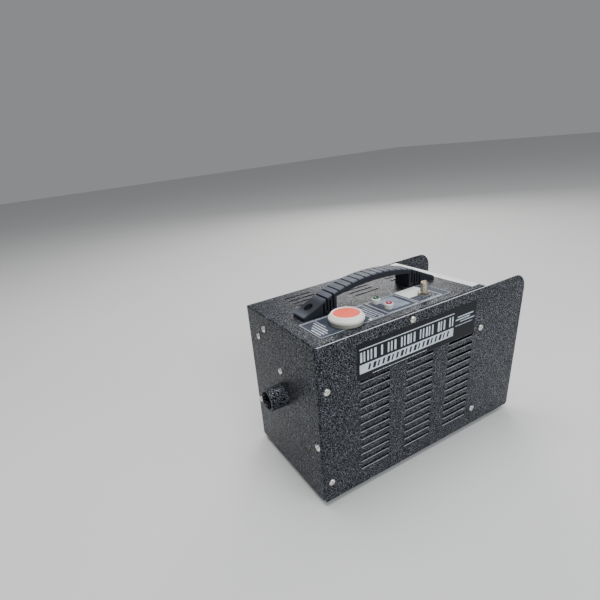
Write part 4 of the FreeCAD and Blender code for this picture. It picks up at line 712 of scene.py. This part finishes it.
# The side plate: a rule, a row of plain uprights, a white band with leaning dashes, small print and three strokes
mark_starts = 4.5 + 10.9 * np.arange(15)
uprights = [(start, 199.6, start + wide, 213.4) for start, wide in zip(mark_starts, (3.2, 2.6, 3.6, 3.0, 2.4) * 3)]
uprights += [(start + 5.2, 199.6, start + 7.6, 213.4) for start in mark_starts[[0, 1, 4, 6, 7, 9, 10, 12, 14]]]
plate_white = [(3.5, 216.6, 166, 217.9), (3.5, 184.0, 166, 196.4)] + uprights
plate_white += [(172, 208.6, 203, 210.2, 2), (169, 204.8, 196, 206.6, 2), (178, 201.2, 206, 202.6, 2)]
plate_white += words(24, 118, 178.6, 1.0, WORDS, 1.1) + words(170, 204, 196.4, 1.2, WORDS, 1.0)
plate_dark = [(16 + 7.6 * index, 186.2, 16 + 7.6 * index + (3.4, 4.6, 2.8)[index % 3], 194.2, 2.2)
              for index in range(19)]


plate_face, near_start, far_start = 0.0893, 0.116, 0.094


def near_side(lift):
    """Places on the near plate: u along the machine, v upwards, height out from the plate, lifted further by lift."""
    return lambda u, v, height: (u - near_start, np.full_like(u, -plate_face - height - lift), v)


def far_side(lift):
    """Places on the far plate, with u run the other way so that the print reads from that side."""
    return lambda u, v, height: (far_start - u, np.full_like(u, plate_face + height + lift), v)


for side_name, side in (("near", near_side), ("far", far_side)):
    ink(side_name + "_print_white", plate_white, white_ink_painted_sky_tint, side(0))
    ink(side_name + "_print_black", plate_dark, black_ink, side(0.00003))


# ------------------------------------------------------------------ fog button
# A 45 mm push button: a dull cream base ring, a rounder cream bezel and a salmon cap that slides in it on a stem,
# returned by a wire spring inside the threaded barrel.
def button_plastic(name, colour, shade, roughness):
    """Satin plastic, faintly mottled between two shades."""
    return moulded(name, colour, shade, roughness, 260, 0.00003, Specular_IOR_Level=0.3)


cream = button_plastic("cream_plastic", (0.93, 0.92, 0.87), (0.86, 0.84, 0.77), 0.42)
dull_cream = moulded("cream_plastic_dark", (0.46, 0.44, 0.37), (0.36, 0.34, 0.28), 0.48)
salmon = button_plastic("red_plastic", (0.97, 0.135, 0.075), (0.90, 0.105, 0.06), 0.6)
button_x, button_y = -0.105, -0.057
button_place = [(button_x, button_y, overlay_top, (0, 0, 1), 0)]
ring_profile = eased([(0.0145, 0), (0.0208, 0), (0.0208, 0.0036), (0.0199, 0.0045), (0.0164, 0.0045),
                      (0.0164, 0.0020), (0.0145, 0.0020)], 0.0005, closed=True)
bezel_profile = eased([(0.0164, 0.0045), (0.0214, 0.0045), (0.0223, 0.0055), (0.0223, 0.0083), (0.0208, 0.0103),
                       (0.0191, 0.0125), (0.0180, 0.0133), (0.0168, 0.0131), (0.0164, 0.0120)], 0.0005, 5, True)
cap_profile = eased([(0, -0.033), (0.004, -0.033), (0.004, 0.006), (0.01605, 0.006), (0.01605, 0.0121),
                     (0.0152, 0.0126), (0.0110, 0.01295), (0.0055, 0.01318), (0, 0.01325)], 0.0006, 5)
for piece_name, profile, closed, finish, slot, body, node in (
        ("button_base_ring_moulding", ring_profile, True, dull_cream, "cream_plastic_dark", "case",
         "button_base_ring"),
        ("button_bezel_moulding", bezel_profile, True, cream, "cream_plastic", "case", "button_bezel"),
        ("button_cap_moulding", cap_profile, False, salmon, "red_plastic", "fog_button", "button_cap")):
    shape = repeated(turned_points(profile, 128), grid_faces(len(profile), 128, closed, True), button_place)
    add_piece(piece_name, finished_mesh(piece_name, *shape, crisp=40), finish, body, [node])
dressed(grey_plastic, "button_barrel", "button_nut")


def coil_points(radius, wire, low, high, turns, per_turn=40, sides=12):
    """A wire circle carried up a helix: the line is (R cos t, R sin t, h t), with its two end turns closed up."""
    t = np.linspace(0, 2 * np.pi * turns, turns * per_turn + 1)
    share = t / t[-1]
    rise = np.clip((share * turns - 1) / (turns - 2), 0, 1) * (high - low - 4 * wire) + 2 * wire * (
        np.clip(share * turns, 0, 1) + np.clip(share * turns - turns + 1, 0, 1))
    line = np.stack([radius * np.cos(t), radius * np.sin(t), low + wire + rise * (high - low - 2 * wire)
                     / (high - low)], axis=1)
    out = np.stack([np.cos(t), np.sin(t), 0 * t], axis=1)
    along = np.gradient(line, axis=0)
    along /= np.linalg.norm(along, axis=1)[:, None]
    other = np.cross(along, out)
    around = np.linspace(0, 2 * np.pi, sides, endpoint=False)
    rings = line[:, None] + wire * (np.cos(around)[None, :, None] * out[:, None]
                                    + np.sin(around)[None, :, None] * other[:, None])
    ends = np.repeat(line[[0, -1]][:, None], sides, axis=1)
    return np.concatenate([ends[:1], rings, ends[1:]]), grid_faces(len(rings) + 2, sides, close_columns=True)


spring_steel = bare_metal("spring_steel", (0.66, 0.66, 0.66), (0.44, 0.43, 0.42), 0.25)
spring = repeated(*coil_points(0.0064, 0.00055, -0.0219, 0.0058, 8), button_place)
spring_piece = add_piece("button_spring_coil", finished_mesh("button_spring_coil", *spring), spring_steel,
                         "case", ["button_spring"])
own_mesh(spring_piece)


# ------------------------------------------------------------------ lamps
# Two indicator lamps, one with a magenta dome and one with a dark green one, in cream bezels pressed into the
# top, with their holders below.
lamp_places = {name: [(-0.038, y, overlay_top, (0, 0, 1), 0)] for name, y in (("red", -0.059), ("green", -0.035))}
lamp_bezel = eased([(0.0036, -0.012), (0.0045, -0.012), (0.0045, 0), (0.0051, 0), (0.0051, 0.0015),
                    (0.0056, 0.0046), (0.0056, 0.0063), (0.0051, 0.0070), (0.0042, 0.0070), (0.0042, 0.0020),
                    (0.0036, 0.0020)], 0.0005, 5, True)
both_lamps = lamp_places["red"] + lamp_places["green"]
shape = repeated(turned_points(lamp_bezel, 72), grid_faces(len(lamp_bezel), 72, True, True), both_lamps)
add_piece("lamp_bezel_mouldings", finished_mesh("lamp_bezel_mouldings", *shape, crisp=45), cream,
          "case", ["lamp_bezels"])
dome_angle = np.linspace(0, np.pi / 2, 12)
lamp_dome = np.vstack([[(0, 0.0020), (0.0041, 0.0020)],
                       np.stack([0.0041 * np.cos(dome_angle), 0.0070 + 0.0027 * np.sin(dome_angle)], axis=1)])
for hue, colour, shade in (("red", (0.62, 0.02, 0.10), (0.40, 0.012, 0.07)), ("green", (0.02, 0.16, 0.06),
                                                                             (0.012, 0.09, 0.04))):
    lens = moulded(hue + "_lens", colour, shade, 0.12, 300, 0.00002, Coat_Weight=0.8, Transmission_Weight=0.35)
    shape = repeated(turned_points(lamp_dome, 64), grid_faces(len(lamp_dome), 64, close_columns=True),
                     lamp_places[hue])
    add_piece(hue + "_lamp_dome", finished_mesh(hue + "_lamp_dome", *shape), lens, "case",
              [hue + "_lamp_lens"])
dressed(grey_plastic, "lamp_holders")


# ------------------------------------------------------------------ output control
# A potentiometer that has lost its knob: a can under the top, a long threaded bush held by a washer and a
# hexagon nut, and a slotted brass spindle that turns in it.
def threaded_bush(count=64, pitch=0.00075):
    """The can's profile, then the bush: radius 4.9 mm less up to 0.32 mm where height/pitch is off t/(2 pi)."""
    can = [(0, -0.018), (0.012, -0.018), (0.012, -0.0018), (0.0049, -0.0018)]
    heights = np.arange(0.0009, 0.0174, pitch / 8)
    top = [(0.0046, 0.0176), (0.0043, 0.0180), (0.00305, 0.0180), (0.00305, -0.0140), (0, -0.0140)]
    rows = np.vstack([can, np.stack([np.full(len(heights), 0.0049), heights], axis=1), top])
    points = turned_points(rows, count)
    angle = np.linspace(0, 2 * np.pi, count, endpoint=False)
    wave = np.abs(((heights[:, None] / pitch - angle[None] / (2 * np.pi)) % 1) * 2 - 1)
    points[len(can):len(can) + len(heights), :, :2] *= (1 - wave * 0.00032 / 0.0049)[..., None]
    return points, grid_faces(len(rows), count, close_columns=True)


worn_plate = bare_metal("worn_plate", (0.60, 0.56, 0.48), (0.34, 0.29, 0.22), 0.30, 900)
worn_brass = bare_metal("tarnished_brass", (0.42, 0.30, 0.17), (0.22, 0.15, 0.09), 0.34, 900)
dial_x, dial_y, washer_top = 0.029, -0.055, 0.2421
dial_place = [(dial_x, dial_y, overlay_top, (0, 0, 1), 0.35)]
bush_points, bush_faces = repeated(*threaded_bush(), dial_place)
tag_rows = np.array([(x, -0.044, x + 0.002, -0.036) for x in (0.023, 0.028, 0.033)])
tag_corners = np.array([[(x0, y0, z), (x1, y0, z), (x1, y1, z), (x0, y1, z)]
                        for x0, y0, x1, y1 in tag_rows for z in (0.2293, 0.2299)]).reshape(-1, 3)
tag_faces = box_faces(len(tag_rows)) + len(bush_points)
add_piece("output_potentiometer", finished_mesh("output_potentiometer", np.vstack([bush_points, tag_corners]),
                                                np.vstack([bush_faces, tag_faces]), crisp=55),
          worn_plate, "case", ["dial_body"])
washer_profile = eased([(0.00492, 0), (0.0085, 0), (0.0085, 0.0008), (0.00492, 0.0008)], 0.0002, 3, True)
washer = repeated(turned_points(washer_profile, 72), grid_faces(len(washer_profile), 72, True, True), dial_place)
add_piece("dial_washer_turned", finished_mesh("dial_washer_turned", *washer), zinc, "case",
          ["dial_washer"])
bush_nut = repeated(*hexagon_nut(0.014, 0.004, 0.00492), [(dial_x, dial_y, washer_top, (0, 0, 1), 0.55)])
add_piece("dial_nut_hexagon", finished_mesh("dial_nut_hexagon", *bush_nut), worn_plate, "case",
          ["dial_nut"])
softened("dial_spindle", 0.0003, worn_brass, body="output_spindle")


# ------------------------------------------------------------------ carrying handle
# One charcoal moulding with a ribbed arch and two ramped ends, slit so that they flex; a screw at the bottom of
# a deep hole holds each end to the top.
def handle_finish():
    """Charcoal plastic, painted grey on the ridge tops, less than 1.2 mm under the arch's outer circle, and near
    black below that: painted light on the tops, painted shade in the grooves and on the sides.
    """
    material, tree, principled, place = new_finish("handle_plastic", Specular_IOR_Level=0.28)
    span, rise, crown = 0.073, 0.0115, 0.2775
    arch_radius = (span ** 2 + rise ** 2) / (2 * rise)
    axes = wired(tree, "ShaderNodeSeparateXYZ", {0: place}).outputs
    in_plane = wired(tree, "ShaderNodeCombineXYZ", {"X": axes["X"], "Z": axes["Z"]}).outputs[0]
    out = wired(tree, "ShaderNodeVectorMath", {0: in_plane, 1: (-0.028, 0, crown - arch_radius)},
                operation="DISTANCE").outputs["Value"]
    # Painted light and shade: 1 on the ridge tops near the outer circle, 0 deeper in the grooves and on the arch's
    # sides.
    ridge_top_clear_of_painted_shade = spread(tree, out, arch_radius - 0.0017, arch_radius - 0.0011)
    fine = noise(tree, place, 1100, 3.0, 0.6)
    cloud = noise(tree, place, 60, 4.0, 0.6)
    grey = blended(tree, spread(tree, cloud, 0.3, 0.75), (0.075, 0.084, 0.108), (0.105, 0.115, 0.140))
    # Near black is the painted shade in the grooves and on the sides; the clouded grey is the painted lighter ridge
    # top.
    tree.links.new(blended(tree, ridge_top_clear_of_painted_shade, (0.018, 0.020, 0.027), grey), principled.inputs["Base Color"])
    tree.links.new(spread(tree, fine, 0.3, 0.7, 0.48, 0.64), principled.inputs["Roughness"])
    bumped(tree, principled, fine, 0.00009, 0.6)
    return material


handle_plastic = handle_finish()
softened("carry_handle", 0.0006, handle_plastic, layers=3, over=28)
handle_screws = repeated(*pan_head(0.00475, 0.003, 0.0025, 0.012),
                         [(x, -0.008, 0.2445, (0, 0, 1), turn) for x, turn in ((-0.128, 0.4), (0.072, 1.1))])
add_piece("handle_screws_nickel", finished_mesh("handle_screws_nickel", *handle_screws, crisp=50), nickel,
          "case", ["handle_screws"])
